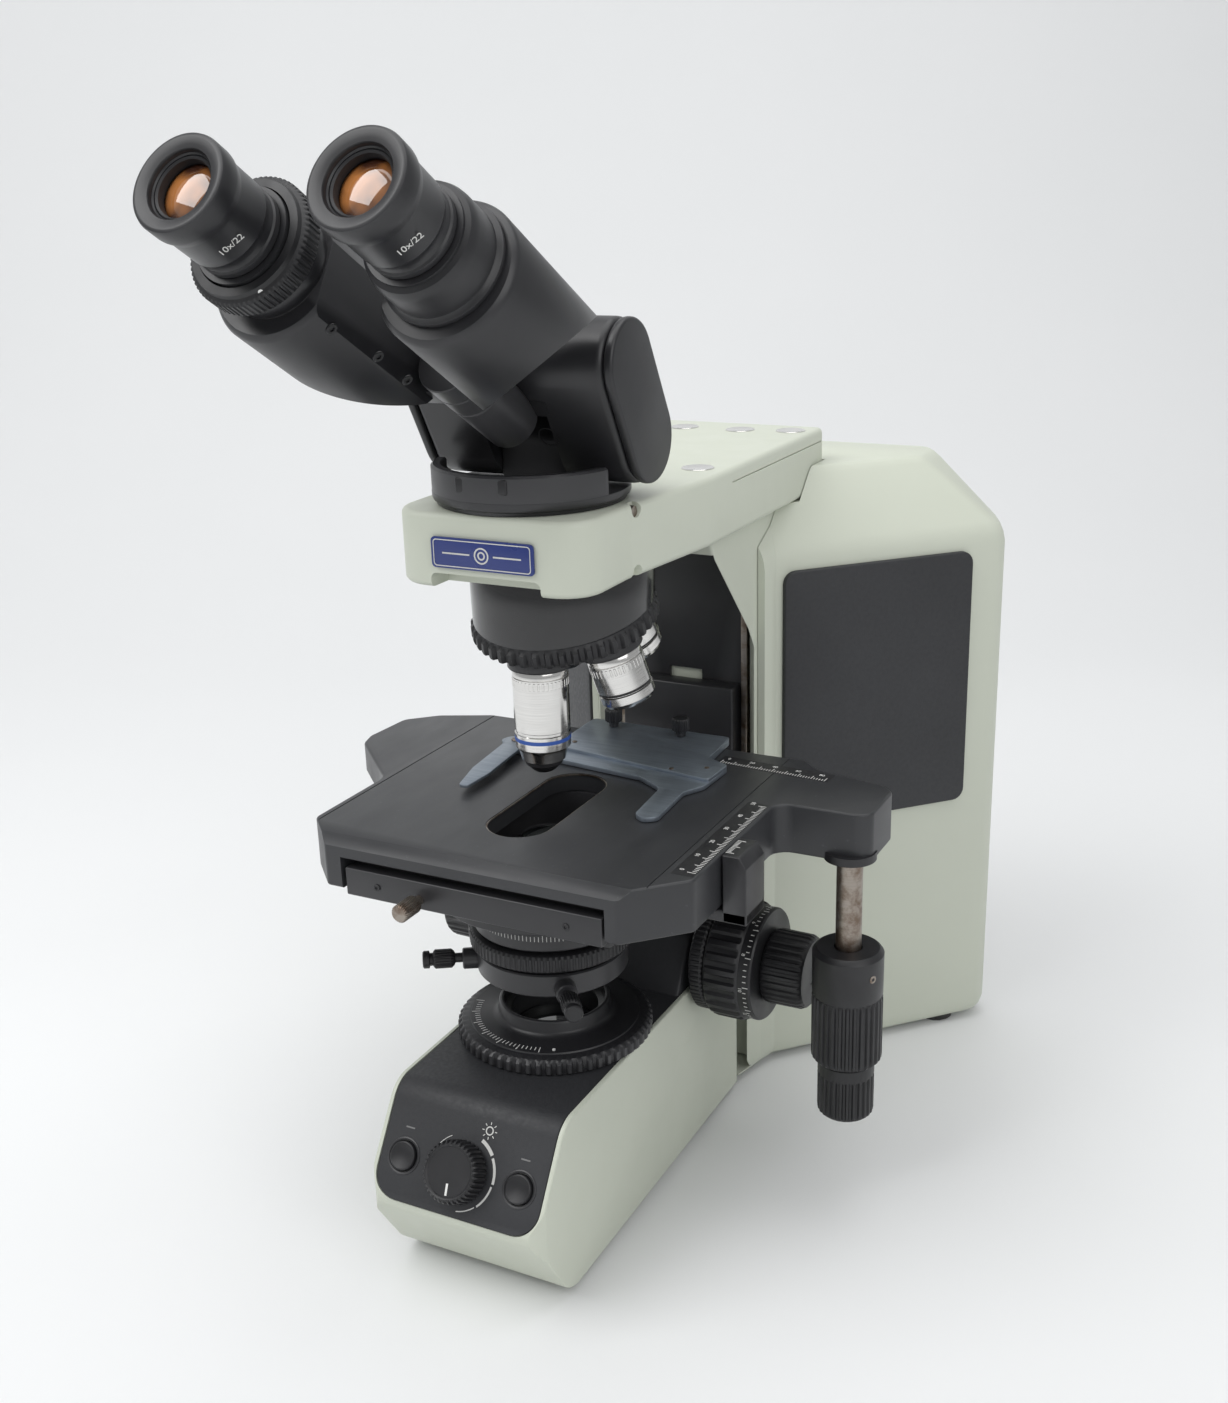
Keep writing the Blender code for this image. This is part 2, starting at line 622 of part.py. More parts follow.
def make_arm(cream, badge_blue, screw_steel):
    """The flat arm that carries the head above and the nosepiece below."""
    front_corner = (NOSE_HALF - ARM_CORNER, ARM_FRONT + ARM_CORNER)
    half = arc(front_corner, ARM_CORNER, -90, 0) + [(NOSE_HALF, 0.0), (ARM_HALF, 70.0), (ARM_HALF, ARM_BACK)]
    arm = piece("arm", prism(mirrored(half), ARM_LOW, ARM_TOP), cream)
    seat = ARM_TOP - TUBE_SEAT_DEPTH
    cut(arm, turned([(0, ARM_LOW - 5), (LIGHT_BORE, ARM_LOW - 5), (LIGHT_BORE, seat), (TUBE_SEAT_RADIUS, seat),
                     (TUBE_SEAT_RADIUS, ARM_TOP + 5), (0, ARM_TOP + 5)]))
    cut(arm, box((-NOTCH_HALF, ARM_FRONT - 5, ARM_LOW - 5), (NOTCH_HALF, ARM_FRONT + 20, ARM_LOW + 8)))
    cut(arm, along("X", disc(3.4, TUBE_SEAT_RADIUS - 4, NOSE_HALF + 12), (0, CLAMP_Y, CLAMP_Z)))
    length = NOSE_HALF - TUBE_SEAT_RADIUS - 1.0
    screw = turned([(0, 0), (2.2, 0), (2.2, length - 3), (3.0, length - 3), (3.0, length), (0, length)])
    piece("head_clamp_screw", along("X", screw, (TUBE_SEAT_RADIUS + 0.4, CLAMP_Y, CLAMP_Z)), screw_steel,
          axis_at=(TUBE_SEAT_RADIUS, CLAMP_Y, CLAMP_Z))
    front = ARM_FRONT - GAP
    badge = box((-BADGE_HALF, front - BADGE_THICK, ARM_TOP - 24), (BADGE_HALF, front, ARM_TOP - 10))
    piece("badge", badge, badge_blue)


def turret_matrix():
    return Matrix.Translation((0, TURRET_Y, TURRET_Z)) @ Matrix.Rotation(math.radians(TURRET_TILT), 4, "X")


def make_nosepiece(black, steel):
    """The fixed body under the arm, the ring that turns on it and the objectives."""
    plane = turret_matrix()
    down = plane.to_3x3() @ Vector((0, 0, -1))
    cap = plane @ Vector((0, 0, TURRET_RIM + GAP + 0.2))
    body = disc(TURRET_RADIUS - 1.5, TURRET_Z - 40, ARM_LOW - GAP, (0, TURRET_Y - 2))
    body = slice_off(body, cap, down)
    body = piece("nosepiece_mount", body, black)
    cut(body, disc(LIGHT_BORE - 6, TURRET_Z - 60, ARM_LOW + 5))
    cut(body, moved(disc(6.0 + RUNNING, -5, TURRET_RIM + 12), plane))

    axis = pivot("turret_axis", (0, TURRET_Y, TURRET_Z), (math.radians(TURRET_TILT), 0, 0))
    rim = TURRET_RADIUS
    profile = [(0, -2), (20, -3), (rim - 6, 0), (rim, 0), (rim, TURRET_RIM), (6.0, TURRET_RIM),
               (6.0, TURRET_RIM + 10), (0, TURRET_RIM + 10)]
    turret = piece("turret", turned(profile), black, parent=axis)
    seat = shoulder_height()
    for place in range(TURRET_PLACES):
        turn = Matrix.Rotation(2 * math.pi * place / TURRET_PLACES, 4, "Z")
        here = turn @ plane.inverted() @ Matrix.Translation((0, 0, seat)) @ Matrix.Rotation(math.pi, 4, "X")
        boss = slice_off(moved(disc(BOSS_RADIUS, -14, 0), here), (0, 0, 1), (0, 0, 1))
        join(turret, boss)
        cut(turret, moved(disc(OBJECTIVE_THREAD + GAP, -40, 5), here))
    for name, (place, length, tip) in OBJECTIVES.items():
        turn = Matrix.Rotation(2 * math.pi * place / TURRET_PLACES, 4, "Z")
        here = turn @ plane.inverted() @ Matrix.Translation((0, 0, seat - GAP)) @ Matrix.Rotation(math.pi, 4, "X")
        full = OBJECTIVE_RADIUS
        nose = OBJECTIVE_CONE if length > 30 else 3.0
        profile = [(0, -5), (OBJECTIVE_THREAD, -5), (OBJECTIVE_THREAD, 0), (full, 0), (full, length - nose),
                   (tip + 3, length - 1.5), (tip, length), (0, length)]
        piece(name, moved(turned(profile), here), steel, parent=axis)


def shoulder_height():
    """Height at which the optical axis leaves the turret's lower face."""
    return TURRET_Z - TURRET_Y * math.tan(math.radians(TURRET_TILT)) - 7.0


def make_head(black):
    """The turning flange on the arm and the tilting block above it."""
    seat = ARM_TOP + GAP
    bottom = ARM_TOP - TUBE_SEAT_DEPTH + GAP
    spigot = TUBE_SEAT_RADIUS - GAP
    disc_top = seat + FLANGE_DISC
    profile = [(LIGHT_BORE, bottom), (spigot, bottom), (spigot, seat), (FLANGE_RADIUS - 2, seat),
               (FLANGE_RADIUS, disc_top), (LIGHT_BORE, disc_top)]
    flange = piece("head_flange", turned(profile), black)
    rim = ring(FLANGE_RADIUS - FLANGE_RIM, FLANGE_RADIUS - 0.2, disc_top - 1, FLANGE_TOP)
    join(flange, slice_off(rim, (0, RIM_CUT_Y, 0), (0, 1, 0)))
    centre = (0, PIVOT_Y, PIVOT_Z)
    tongue = stadium((PIVOT_Y, disc_top - 1), (PIVOT_Y, PIVOT_Z), TONGUE_RADIUS)
    tongue = prism(tongue, -TONGUE_HALF, TONGUE_HALF, "X")
    join(flange, slice_off(tongue, (0, 0, seat + 1), (0, 0, -1)))
    cut(flange, along("X", disc(PIVOT_RADIUS + GAP, -TONGUE_HALF - 5, TONGUE_HALF + 5), centre))

    outline = stadium((PIVOT_Y, PIVOT_Z), BLOCK_UPPER, BLOCK_RADIUS)
    block = piece("tilt_block", prism(outline, -BLOCK_HALF, BLOCK_HALF, "X"), black, axis_at=centre)
    clear = along("X", disc(BLOCK_RADIUS + 2, -TONGUE_HALF - RUNNING, TONGUE_HALF + RUNNING), centre)
    cut(block, clear, axis_at=centre)
    cut(block, along("X", disc(PIVOT_RADIUS + GAP, -BLOCK_HALF - 5, BLOCK_HALF + 5), centre), axis_at=centre)
    eye = tube_frame()
    boss = moved(disc(HUB_RADIUS, -188, HUB_START - 2 * HUB_HEIGHT - 2 * GAP), eye)
    join(block, boss, axis_at=centre)
    join(block, moved(disc(HUB_PIN, -170, HUB_START + 4), eye), axis_at=centre)
    cap_start = BLOCK_HALF + GAP
    caps = piece("side_caps", along("X", disc(PIVOT_RADIUS, -cap_start - 1, cap_start + 1), centre), black,
                 axis_at=centre)
    for side in (-1, 1):
        low, high = sorted((side * cap_start, side * (cap_start + CAP_THICK)))
        join(caps, prism(outline, low, high, "X"), axis_at=centre)


def tube_frame():
    """Local +Z runs up the tubes to the eye, local X is world X, on the swing axis."""
    turn = Matrix.Rotation(math.radians(90 - TUBE_SLOPE), 4, "X")
    up = turn.to_3x3() @ Vector((0, EYE_ABOVE, 0))
    return Matrix.Translation((0, EYE_Y - up.y, EYE_Z - up.z)) @ turn


def make_tubes(black, knob_black, glass):
    """The two prism housings that swing together, their barrels and the eyepieces."""
    frame = tube_frame()
    tilt = math.radians(90 - TUBE_SLOPE)
    lean = math.radians(SWING)
    bore = EYEPIECE_RADIUS
    for side, word in ((1, "right"), (-1, "left")):
        axis = pivot("swing_" + word, frame.translation, (tilt, 0, 0))
        centre = (side * EYE_HALF, EYE_ABOVE - 2)
        housing = disc(HOUSING_RADIUS, HOUSING_END, HOUSING_START, centre)
        housing = slice_off(housing, (side * (HUB_RADIUS + 1.3), 0, 0), (-side, 0, 0))
        housing = slice_off(housing, (side * 0.5, 0, 0), (-side * math.cos(lean), math.sin(lean), 0))
        mitre = (side * MITRE[0], MITRE[1], MITRE[2])
        housing = slice_off(housing, (side * EYE_HALF, EYE_ABOVE, MITRE_START), mitre)
        hub = HUB_START if side > 0 else HUB_START - HUB_HEIGHT - GAP
        arm = piece("prism_housing_" + word, housing, black, parent=axis)
        join(arm, disc(HUB_RADIUS, hub - HUB_HEIGHT, hub))
        low, high = sorted((side * 2.0, side * (HUB_RADIUS + 5)))
        join(arm, box((low, -8, hub - HUB_HEIGHT + 0.5), (high, 6, hub - 0.5)))
        cut(arm, disc(HUB_PIN + GAP, hub - HUB_HEIGHT - 5, hub + 5))
        eye = (side * EYE_HALF, EYE_ABOVE)
        if side > 0:
            barrel = [(bore + 1, HOUSING_START - 1), (BARREL_RADIUS + 2, HOUSING_START - 1),
                      (BARREL_RADIUS + 2, HOUSING_START + 3), (BARREL_RADIUS, HOUSING_START + 6),
                      (BARREL_RADIUS, BARREL_END - 2), (BARREL_RADIUS - 3, BARREL_END), (bore + 1, BARREL_END)]
        else:
            barrel = [(bore + 1, HOUSING_START - 1), (BARREL_RADIUS, HOUSING_START - 1),
                      (BARREL_RADIUS, DIOPTRE_START), (DIOPTRE_SEAT, DIOPTRE_START), (DIOPTRE_SEAT, BARREL_END),
                      (bore + 1, BARREL_END)]
        join(arm, moved(turned(barrel), Matrix.Translation((*eye, 0))))
        cut(arm, disc(bore + GAP, -75, -30, eye))
        place = pivot("eye_axis_" + word, (*eye, 0), parent=axis)
        seat = BARREL_END + GAP + 0.1
        profile = [(EYE_LENS_RADIUS + GAP, -70), (bore, -70), (bore, seat), (18, seat), (18, -33), (17, -31),
                   (18.4, -28), (18.4, -12), (EYECUP_RADIUS, -8), (EYECUP_RADIUS, -1), (EYECUP_RADIUS - 1, 0),
                   (EYE_LENS_RADIUS + 1, -1), (EYE_LENS_RADIUS + GAP, -6)]
        piece("eyepiece_" + word, turned(profile), knob_black, parent=place)
        lens = [(0, -16), (EYE_LENS_RADIUS, -14), (EYE_LENS_RADIUS, -7), (0, -5)]
        piece("eyepiece_lens_" + word, turned(lens), glass, parent=place)
        if side < 0:
            knurl = ring(DIOPTRE_SEAT + RUNNING, DIOPTRE_RADIUS, DIOPTRE_START + GAP, BARREL_END - 1.5)
            piece("dioptre_ring", knurl, knob_black, parent=place)


def make_focus(knob_black, steel):
    """Coarse and fine knobs on their common axis, and the tension ring."""
    centre = (0, FOCUS_Y, FOCUS_Z)
    half = COARSE_X[0] + 1
    shaft = along("X", ring(SHAFT_RADIUS + GAP, COARSE_SHAFT_RADIUS, -half, half), centre)
    piece("pinion_shaft", shaft, steel, axis_at=centre)
    tension = along("X", ring(COARSE_SHAFT_RADIUS + RUNNING, TENSION_RADIUS, *TENSION_X), centre)
    piece("tension_ring", tension, knob_black, axis_at=centre)
    inner, outer = COARSE_X
    for side, word in ((1, "right"), (-1, "left")):
        depth = inner + 1 + GAP
        profile = [(SHAFT_RADIUS + GAP, depth), (COARSE_SHAFT_RADIUS + GAP, depth), (COARSE_SHAFT_RADIUS + GAP, inner),
                   (COARSE_RADIUS - 1, inner), (COARSE_RADIUS, inner + 1.5), (COARSE_RADIUS - 1, outer - 5),
                   (COARSE_RADIUS - 3, outer), (SHAFT_RADIUS + GAP, outer)]
        knob = along("X", turned(profile))
        if side < 0:
            knob = moved(knob, Matrix.Scale(-1, 4, (1, 0, 0)))
            bmesh.ops.reverse_faces(knob, faces=knob.faces)
        piece("coarse_knob_" + word, moved(knob, Matrix.Translation(centre)), knob_black, axis_at=centre)
    fine_in, fine_out = FINE_X
    right = [(SHAFT_RADIUS, fine_in), (FINE_RADIUS - 1, fine_in), (FINE_RADIUS, fine_in + 2),
             (FINE_RADIUS - 1, fine_out - 1), (FINE_RADIUS - 2, fine_out), (0, fine_out)]
    left = [(radius, -x) for radius, x in reversed(right)]
    piece("fine_knobs", along("X", turned(left + right), centre), knob_black, axis_at=centre)


def make_carrier(black, knob_black, glass):
    """The bracket that rises with the stage, and the condenser that hangs on it."""
    hole = CONDENSER_BODY_RADIUS + 3.5
    outer = hole + 14
    carrier = piece("stage_carrier", ring(hole, outer, CARRIER_LOW, CARRIER_HIGH), black)
    back = box((-CARRIER_HALF, hole + 4, CARRIER_LOW), (CARRIER_HALF, CARRIER_BACK + 10, CARRIER_HIGH))
    join(carrier, back)
    slider = RECESS_COVER_FACE - GAP
    join(carrier, box((-CARRIER_HALF, CARRIER_BACK, 128), (CARRIER_HALF, slider, 230)))
    join(carrier, box((-CARRIER_HALF, 122, 143), (CARRIER_HALF, CARRIER_BACK + 5, CARRIER_LOW + 5)))
    centre = (0, CONDENSER_KNOB_Y, CONDENSER_KNOB_Z)
    cut(carrier, along("X", disc(4.0 + GAP, -CARRIER_HALF - 5, CARRIER_HALF + 5), centre))

    knob = [(0, -24), (4, -24), (4, CARRIER_HALF + 2), (13, CARRIER_HALF + 2), (13, CARRIER_HALF + 18),
            (11, CARRIER_HALF + 20), (0, CARRIER_HALF + 20)]
    knob = moved(along("X", turned(knob)), Matrix.Scale(-1, 4, (1, 0, 0)))
    bmesh.ops.reverse_faces(knob, faces=knob.faces)
    piece("condenser_knob", moved(knob, Matrix.Translation(centre)), knob_black, axis_at=centre)

    low, high = CONDENSER_BOTTOM - 3, CONDENSER_RING_Z[0] - GAP - 1
    sleeve = CONDENSER_SLEEVE_RADIUS
    holder = piece("condenser_holder", ring(sleeve + GAP, HOLDER_RING_RADIUS, low, high - 1), black)
    join(holder, box((-14, HOLDER_RING_RADIUS - 3, low + 1), (14, HOLDER_RING_RADIUS + 14, high - 2)))
    join(holder, box((-14, CONDENSER_RING_RADIUS + 3, low + 2), (14, HOLDER_RING_RADIUS + 13, 164)))
    join(holder, box((-14, HOLDER_RING_RADIUS + 8, 150), (14, 122 - GAP, 163)))
    for side, word in ((-1, "left"), (1, "right")):
        angle = SCREW_ANGLES[word]
        turn = Matrix.Rotation(math.radians(angle), 4, "Z")
        boss = along("X", disc(5.5, HOLDER_RING_RADIUS - 2, HOLDER_RING_RADIUS + 7), (0, 0, (low + high) / 2 - 1))
        join(holder, moved(boss, turn))
        hole = along("X", disc(2.5 + GAP, sleeve - 2, HOLDER_RING_RADIUS + 12), (0, 0, (low + high) / 2 - 1))
        cut(holder, moved(hole, turn))
        screw = turned([(0, sleeve + 1), (2.5, sleeve + 1), (2.5, HOLDER_RING_RADIUS + 12),
                        (5, HOLDER_RING_RADIUS + 12), (5, HOLDER_RING_RADIUS + 26), (4, HOLDER_RING_RADIUS + 27),
                        (0, HOLDER_RING_RADIUS + 27)])
        screw = moved(along("X", screw, (0, 0, (low + high) / 2 - 1)), turn)
        piece("centring_screw_" + word, screw, knob_black)

    ring_low, ring_high = CONDENSER_RING_Z
    bore = CONDENSER_TOP_RADIUS - 2
    body = [(bore, CONDENSER_BOTTOM), (sleeve, CONDENSER_BOTTOM), (sleeve, ring_high + 1),
            (CONDENSER_BODY_RADIUS, ring_high + 1), (CONDENSER_BODY_RADIUS, CARRIER_LOW + 12),
            (20, CARRIER_LOW + 14), (CONDENSER_TOP_RADIUS, CARRIER_LOW + 18),
            (CONDENSER_TOP_RADIUS, CONDENSER_TOP), (bore, CONDENSER_TOP)]
    piece("condenser_body", turned(body), black)
    knurl = ring(sleeve + RUNNING, CONDENSER_RING_RADIUS, ring_low, ring_high)
    piece("aperture_ring", knurl, knob_black)
    lens = [(0, CONDENSER_TOP - 12), (bore - GAP, CONDENSER_TOP - 10), (bore - GAP, CONDENSER_TOP - 2),
            (0, CONDENSER_TOP)]
    piece("condenser_lens", turned(lens), glass)


def stage_outline():
    """The moving stage plate in plan, with a wing on each side."""
    return [(-78, STAGE_FRONT), (76, STAGE_FRONT), (101, -49), (101, 47), (143, 47), (148, 52), (148, 82), (142, 88),
            (104, 96), (94, 106), (-94, 106), (-122, 94), (-137, 80), (-139, 50), (-136, 40), (-130, 34), (-96, 1),
            (-96, -56)]


def make_stage(black, knob_black, steel, grey):
    """The stage on its bracket, the two drive knobs that hang from it and the slide holder."""
    top = STAGE_TOP
    slab = top - STAGE_SLAB
    skirt = top - STAGE_SKIRT
    plate = piece("stage_top", prism(stage_outline(), skirt, top), black)
    cavity = [(90, -60), (90, 92), (-86, 92), (-86, -60), (-STAGE_BASE_HALF - 1.5, -60),
              (-STAGE_BASE_HALF - 1.5, STAGE_FRONT - 5), (STAGE_BASE_HALF + 1.5, STAGE_FRONT - 5),
              (STAGE_BASE_HALF + 1.5, -60)]
    slot = stadium((0, SLOT_Y - SLOT_LENGTH + SLOT_HALF), (0, SLOT_Y + SLOT_LENGTH - SLOT_HALF), SLOT_HALF)
    cut(plate, prism(slot, skirt - 5, top + 5))
    cut(plate, prism(cavity, skirt - 5, slab))
    cut(plate, disc(HANDLE_RADIUS + GAP, skirt - 5, skirt + 12, (HANDLE_X, HANDLE_Y)))
    cut(plate, box((-145, -5, skirt - 5), (-97, 110, skirt + 10)))

    low, high = CARRIER_HIGH + GAP, skirt - GAP
    half = STAGE_BASE_HALF
    base = piece("stage_base", box((-half, STAGE_FRONT + 8, low), (half, 65, slab - GAP)), black)
    join(base, box((-half, STAGE_FRONT + 0.5, low + 4), (half, STAGE_FRONT + 9, slab - 5)))
    join(base, box((half - 5, -22, low), (114, 0, high - RUNNING)))
    join(base, box((102, -22, low), (114, 0, top + 0.8)))
    cut(base, disc(CONDENSER_BODY_RADIUS + 3.0, low - 5, CARRIER_LOW + 20))
    cut(base, disc(24, low - 5, top + 5))
    centre = (-27, STAGE_FRONT, low + 9)
    cut(base, along("Y", disc(3.0, STAGE_FRONT - 5, STAGE_FRONT + 14), (centre[0], 0, centre[2])))
    screw = [(0, -16), (4.6, -16), (4.6, -3), (2.7, -3), (2.7, 10), (0, 10)]
    piece("stage_lock_screw", along("Y", turned(screw), centre), steel, axis_at=centre)

    axis = (HANDLE_X, HANDLE_Y, 0)
    shaft = disc(HANDLE_RADIUS, X_KNOB_Z[0] + 4, skirt + 11, (HANDLE_X, HANDLE_Y))
    piece("handle_shaft", shaft, steel, axis_at=axis)
    wall = HANDLE_RADIUS + GAP
    y_knob = [(wall, Y_KNOB_Z[0]), (Y_KNOB_RADIUS, Y_KNOB_Z[0]), (Y_KNOB_RADIUS, Y_KNOB_Z[1] - 2),
              (Y_KNOB_RADIUS - 2, Y_KNOB_Z[1]), (wall, Y_KNOB_Z[1])]
    piece("stage_y_knob", moved(turned(y_knob), Matrix.Translation(axis)), knob_black, axis_at=axis)
    x_knob = [(0, X_KNOB_Z[0]), (X_KNOB_RADIUS - 1, X_KNOB_Z[0]), (X_KNOB_RADIUS, X_KNOB_Z[0] + 1),
              (X_KNOB_RADIUS, X_KNOB_Z[1]), (wall, X_KNOB_Z[1]), (wall, X_KNOB_Z[0] + 3), (0, X_KNOB_Z[0] + 3)]
    piece("stage_x_knob", moved(turned(x_knob), Matrix.Translation(axis)), knob_black, axis_at=axis)

    floor = top + GAP
    thick = HOLDER_THICK
    step = floor + thick * 0.6
    outline = [(-32, 112), (-32, 76), (-60, 70), (-62, 62), (-56, 56), (28, 46), (44, 36), (47, 2), (53, -2),
               (59, 2), (57, 36), (63, 47), (64, 74), (51, 80), (49, 112)]
    holder = piece("slide_holder", prism(outline, floor, step), grey)
    upper = [(-32, 112), (-32, 66), (63, 52), (64, 74), (51, 80), (49, 112)]
    join(holder, prism(upper, floor + 1, floor + thick))
    pin = (-54, 64, floor)
    finger = [(-60, 68), (-62, 62), (-58, 57), (-54, 20), (-48, -3), (-43, -3), (-42, 16), (-46, 56), (-48, 66),
              (-54, 70)]
    piece("spring_finger", prism(finger, step + GAP, step + GAP + 1.6), grey, axis_at=pin)
    for x, word in ((-16, "left"), (24, "right")):
        head = turned([(0, 0), (4.8, 0), (4.8, 9), (4, 10), (0, 10)])
        piece("thumb_screw_" + word, moved(head, Matrix.Translation((x, 104, floor + thick + GAP))), knob_black)


def clear_scene():
    for obj in list(bpy.data.objects):
        bpy.data.objects.remove(obj, do_unlink=True)


def main():
    clear_scene()
    cream = material("cream_paint", (0.62, 0.64, 0.55), 0.45)
    black = material("satin_black", (0.02, 0.02, 0.022), 0.4)
    knob_black = material("knob_black", (0.015, 0.015, 0.016), 0.5)
    charcoal = material("charcoal_panel", (0.03, 0.03, 0.033), 0.6)
    chrome = material("chrome", (0.8, 0.8, 0.8), 0.15, 1.0)
    steel = material("worn_steel", (0.35, 0.3, 0.26), 0.35, 1.0)
    grey = material("grey_anodised", (0.32, 0.35, 0.38), 0.35, 0.8)
    glass = material("lens_glass", (0.8, 0.7, 0.5), 0.05, 0.0, 0.35)
    mirror = material("mirror", (0.9, 0.9, 0.9), 0.02, 1.0)
    board = material("board", (0.05, 0.2, 0.08), 0.5)
    blue = material("badge_blue", (0.02, 0.05, 0.25), 0.4)

    make_base(cream, steel)
    make_panel(charcoal, knob_black)
    make_light_path(glass, mirror, board)
    make_field_ring(black)
    make_column(cream, charcoal)
    make_rear(cream, charcoal, charcoal)
    make_arm(cream, blue, steel)
    make_nosepiece(black, chrome)
    make_head(black)
    make_tubes(black, knob_black, glass)
    make_focus(knob_black, steel)
    make_carrier(black, knob_black, glass)
    make_stage(black, knob_black, steel, grey)


main()
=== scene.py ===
"""Looks of an upright laboratory microscope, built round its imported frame.

Lengths in the functions are in millimetres. Meshes are stored in metres.
+Z is up, -Y faces the user, +X is the user's right hand.
"""
import json
import math

import bmesh
import bpy
from mathutils import Matrix, Vector


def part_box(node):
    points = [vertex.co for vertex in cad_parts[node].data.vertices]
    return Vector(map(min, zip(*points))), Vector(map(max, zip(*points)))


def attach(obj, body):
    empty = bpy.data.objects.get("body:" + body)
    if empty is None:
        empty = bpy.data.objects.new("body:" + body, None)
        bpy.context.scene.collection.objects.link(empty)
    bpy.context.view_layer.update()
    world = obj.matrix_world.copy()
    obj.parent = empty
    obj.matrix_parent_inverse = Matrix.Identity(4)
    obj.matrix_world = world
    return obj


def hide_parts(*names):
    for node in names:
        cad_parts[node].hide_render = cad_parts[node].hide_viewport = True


bl_info = {
    "name": "Laboratory microscope looks",
    "version": (1, 0, 0),
    "blender": (4, 5, 0),
    "location": "View3D > Sidebar > Microscope",
    "description": "Detailed pieces and finishes for a laboratory microscope",
    "category": "Object",
}

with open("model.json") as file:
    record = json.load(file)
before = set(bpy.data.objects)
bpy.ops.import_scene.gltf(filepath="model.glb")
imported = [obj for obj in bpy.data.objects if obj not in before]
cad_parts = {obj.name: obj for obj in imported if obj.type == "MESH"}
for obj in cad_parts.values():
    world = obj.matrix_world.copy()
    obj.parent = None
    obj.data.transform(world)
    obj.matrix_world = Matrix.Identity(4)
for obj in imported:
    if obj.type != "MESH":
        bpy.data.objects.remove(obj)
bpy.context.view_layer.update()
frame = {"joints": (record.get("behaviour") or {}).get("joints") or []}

MM = 0.001
SKIN = 0.15          # how far a thin printed mark stands off its face
ROUND = 96           # sides of a smooth turned piece
TAU = 2 * math.pi


# ------------------------------------------------------------ from the frame
def span(node):
    """Lowest and highest corner of a frame node, in millimetres."""
    low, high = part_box(node)
    return low / MM, high / MM


def joint_place(name):
    """Millimetre matrix on a joint: local Z along its axis, local X level."""
    joint = next(j for j in frame["joints"] if j["name"] == name)
    z = Vector(joint["axis"]).normalized()
    level = Vector((1, 0, 0)) if abs(z.x) < 0.9 else Vector((0, 1, 0))
    y = z.cross(level).normalized()
    matrix = Matrix((y.cross(z), y, z)).transposed().to_4x4()
    matrix.translation = Vector(joint["pos_m"]) / MM
    return matrix


def at(x=0.0, y=0.0, z=0.0):
    return Matrix.Translation((x, y, z))


def spin(degrees, axis="Z"):
    return Matrix.Rotation(math.radians(degrees), 4, axis)


# ------------------------------------------------------------- mesh building
def turned(profile, steps=ROUND, ribs=0, closed=True):
    """Turn (radius, height) or (radius, height, rib depth) points round +Z."""
    bm = bmesh.new()
    if ribs:
        per_rib = 6
        steps = ribs * per_rib
        wave = (0.0, 0.0, 0.0, 1.0, 1.0, 1.0)
    rings = []
    for point in profile:
        radius, height = point[0], point[1]
        depth = point[2] if len(point) > 2 else 0.0
        if radius == 0:
            rings.append([bm.verts.new((0, 0, height))])
            continue
        row = []
        for k in range(steps):
            angle = TAU * k / steps
            reach = radius - (depth * wave[k % per_rib] if ribs else 0.0)
            row.append(bm.verts.new((reach * math.cos(angle), reach * math.sin(angle), height)))
        rings.append(row)
    following = rings[1:] + rings[:1] if closed else rings[1:]
    for row, after in zip(rings, following):
        if len(row) == 1 and len(after) == 1:
            continue
        for k in range(steps):
            n = (k + 1) % steps
            corners = [row[k % len(row)], row[n % len(row)], after[n % len(after)], after[k % len(after)]]
            bm.faces.new(list(dict.fromkeys(corners)))
    bmesh.ops.recalc_face_normals(bm, faces=bm.faces)
    return bm


def rounded(outline, radii, steps=5):
    """Replace each corner of an outline with an arc; radii is a number or one per corner."""
    points = []
    count = len(outline)
    for i, corner in enumerate(outline):
        radius = radii[i] if isinstance(radii, (list, tuple)) else radii
        here = Vector(corner)
        back = Vector(outline[i - 1]) - here
        ahead = Vector(outline[(i + 1) % count]) - here
        turn = back.angle(ahead)
        if radius <= 0 or abs(turn - math.pi) < 0.02:
            points.append(tuple(here))
            continue
        reach = min(radius / math.tan(turn / 2), 0.49 * back.length, 0.49 * ahead.length)
        radius = reach * math.tan(turn / 2)
        middle = here + (back.normalized() + ahead.normalized()).normalized() * (radius / math.sin(turn / 2))
        first = here + back.normalized() * reach - middle
        last = here + ahead.normalized() * reach - middle
        sweep = first.angle_signed(last)
        for k in range(steps + 1):
            arm = first.copy()
            arm.rotate(Matrix.Rotation(-sweep * k / steps, 2))
            points.append(tuple(middle + arm))
    return points


AXES = {
    "X": lambda a, b, c: (c, a, b),
    "Y": lambda a, b, c: (a, c, b),
    "Z": lambda a, b, c: (a, b, c),
}


def plate(outline, low, high, axis="Z", edge=0.0, rows=3, both=True):
    """Push an outline along an axis and round the edges of its two faces."""
    bm = bmesh.new()
    place = AXES[axis]
    bottom = [bm.verts.new(place(a, b, low)) for a, b in outline]
    top = [bm.verts.new(place(a, b, high)) for a, b in outline]
    lower = bm.faces.new(bottom)
    upper = bm.faces.new(top)
    count = len(outline)
    for i in range(count):
        j = (i + 1) % count
        bm.faces.new((bottom[i], bottom[j], top[j], top[i]))
    bmesh.ops.recalc_face_normals(bm, faces=bm.faces)
    if edge:
        edges = list(upper.edges) + (list(lower.edges) if both else [])
        bmesh.ops.bevel(bm, geom=edges, offset=edge, segments=rows, profile=0.5, affect="EDGES",
                        clamp_overlap=True)
    return bm


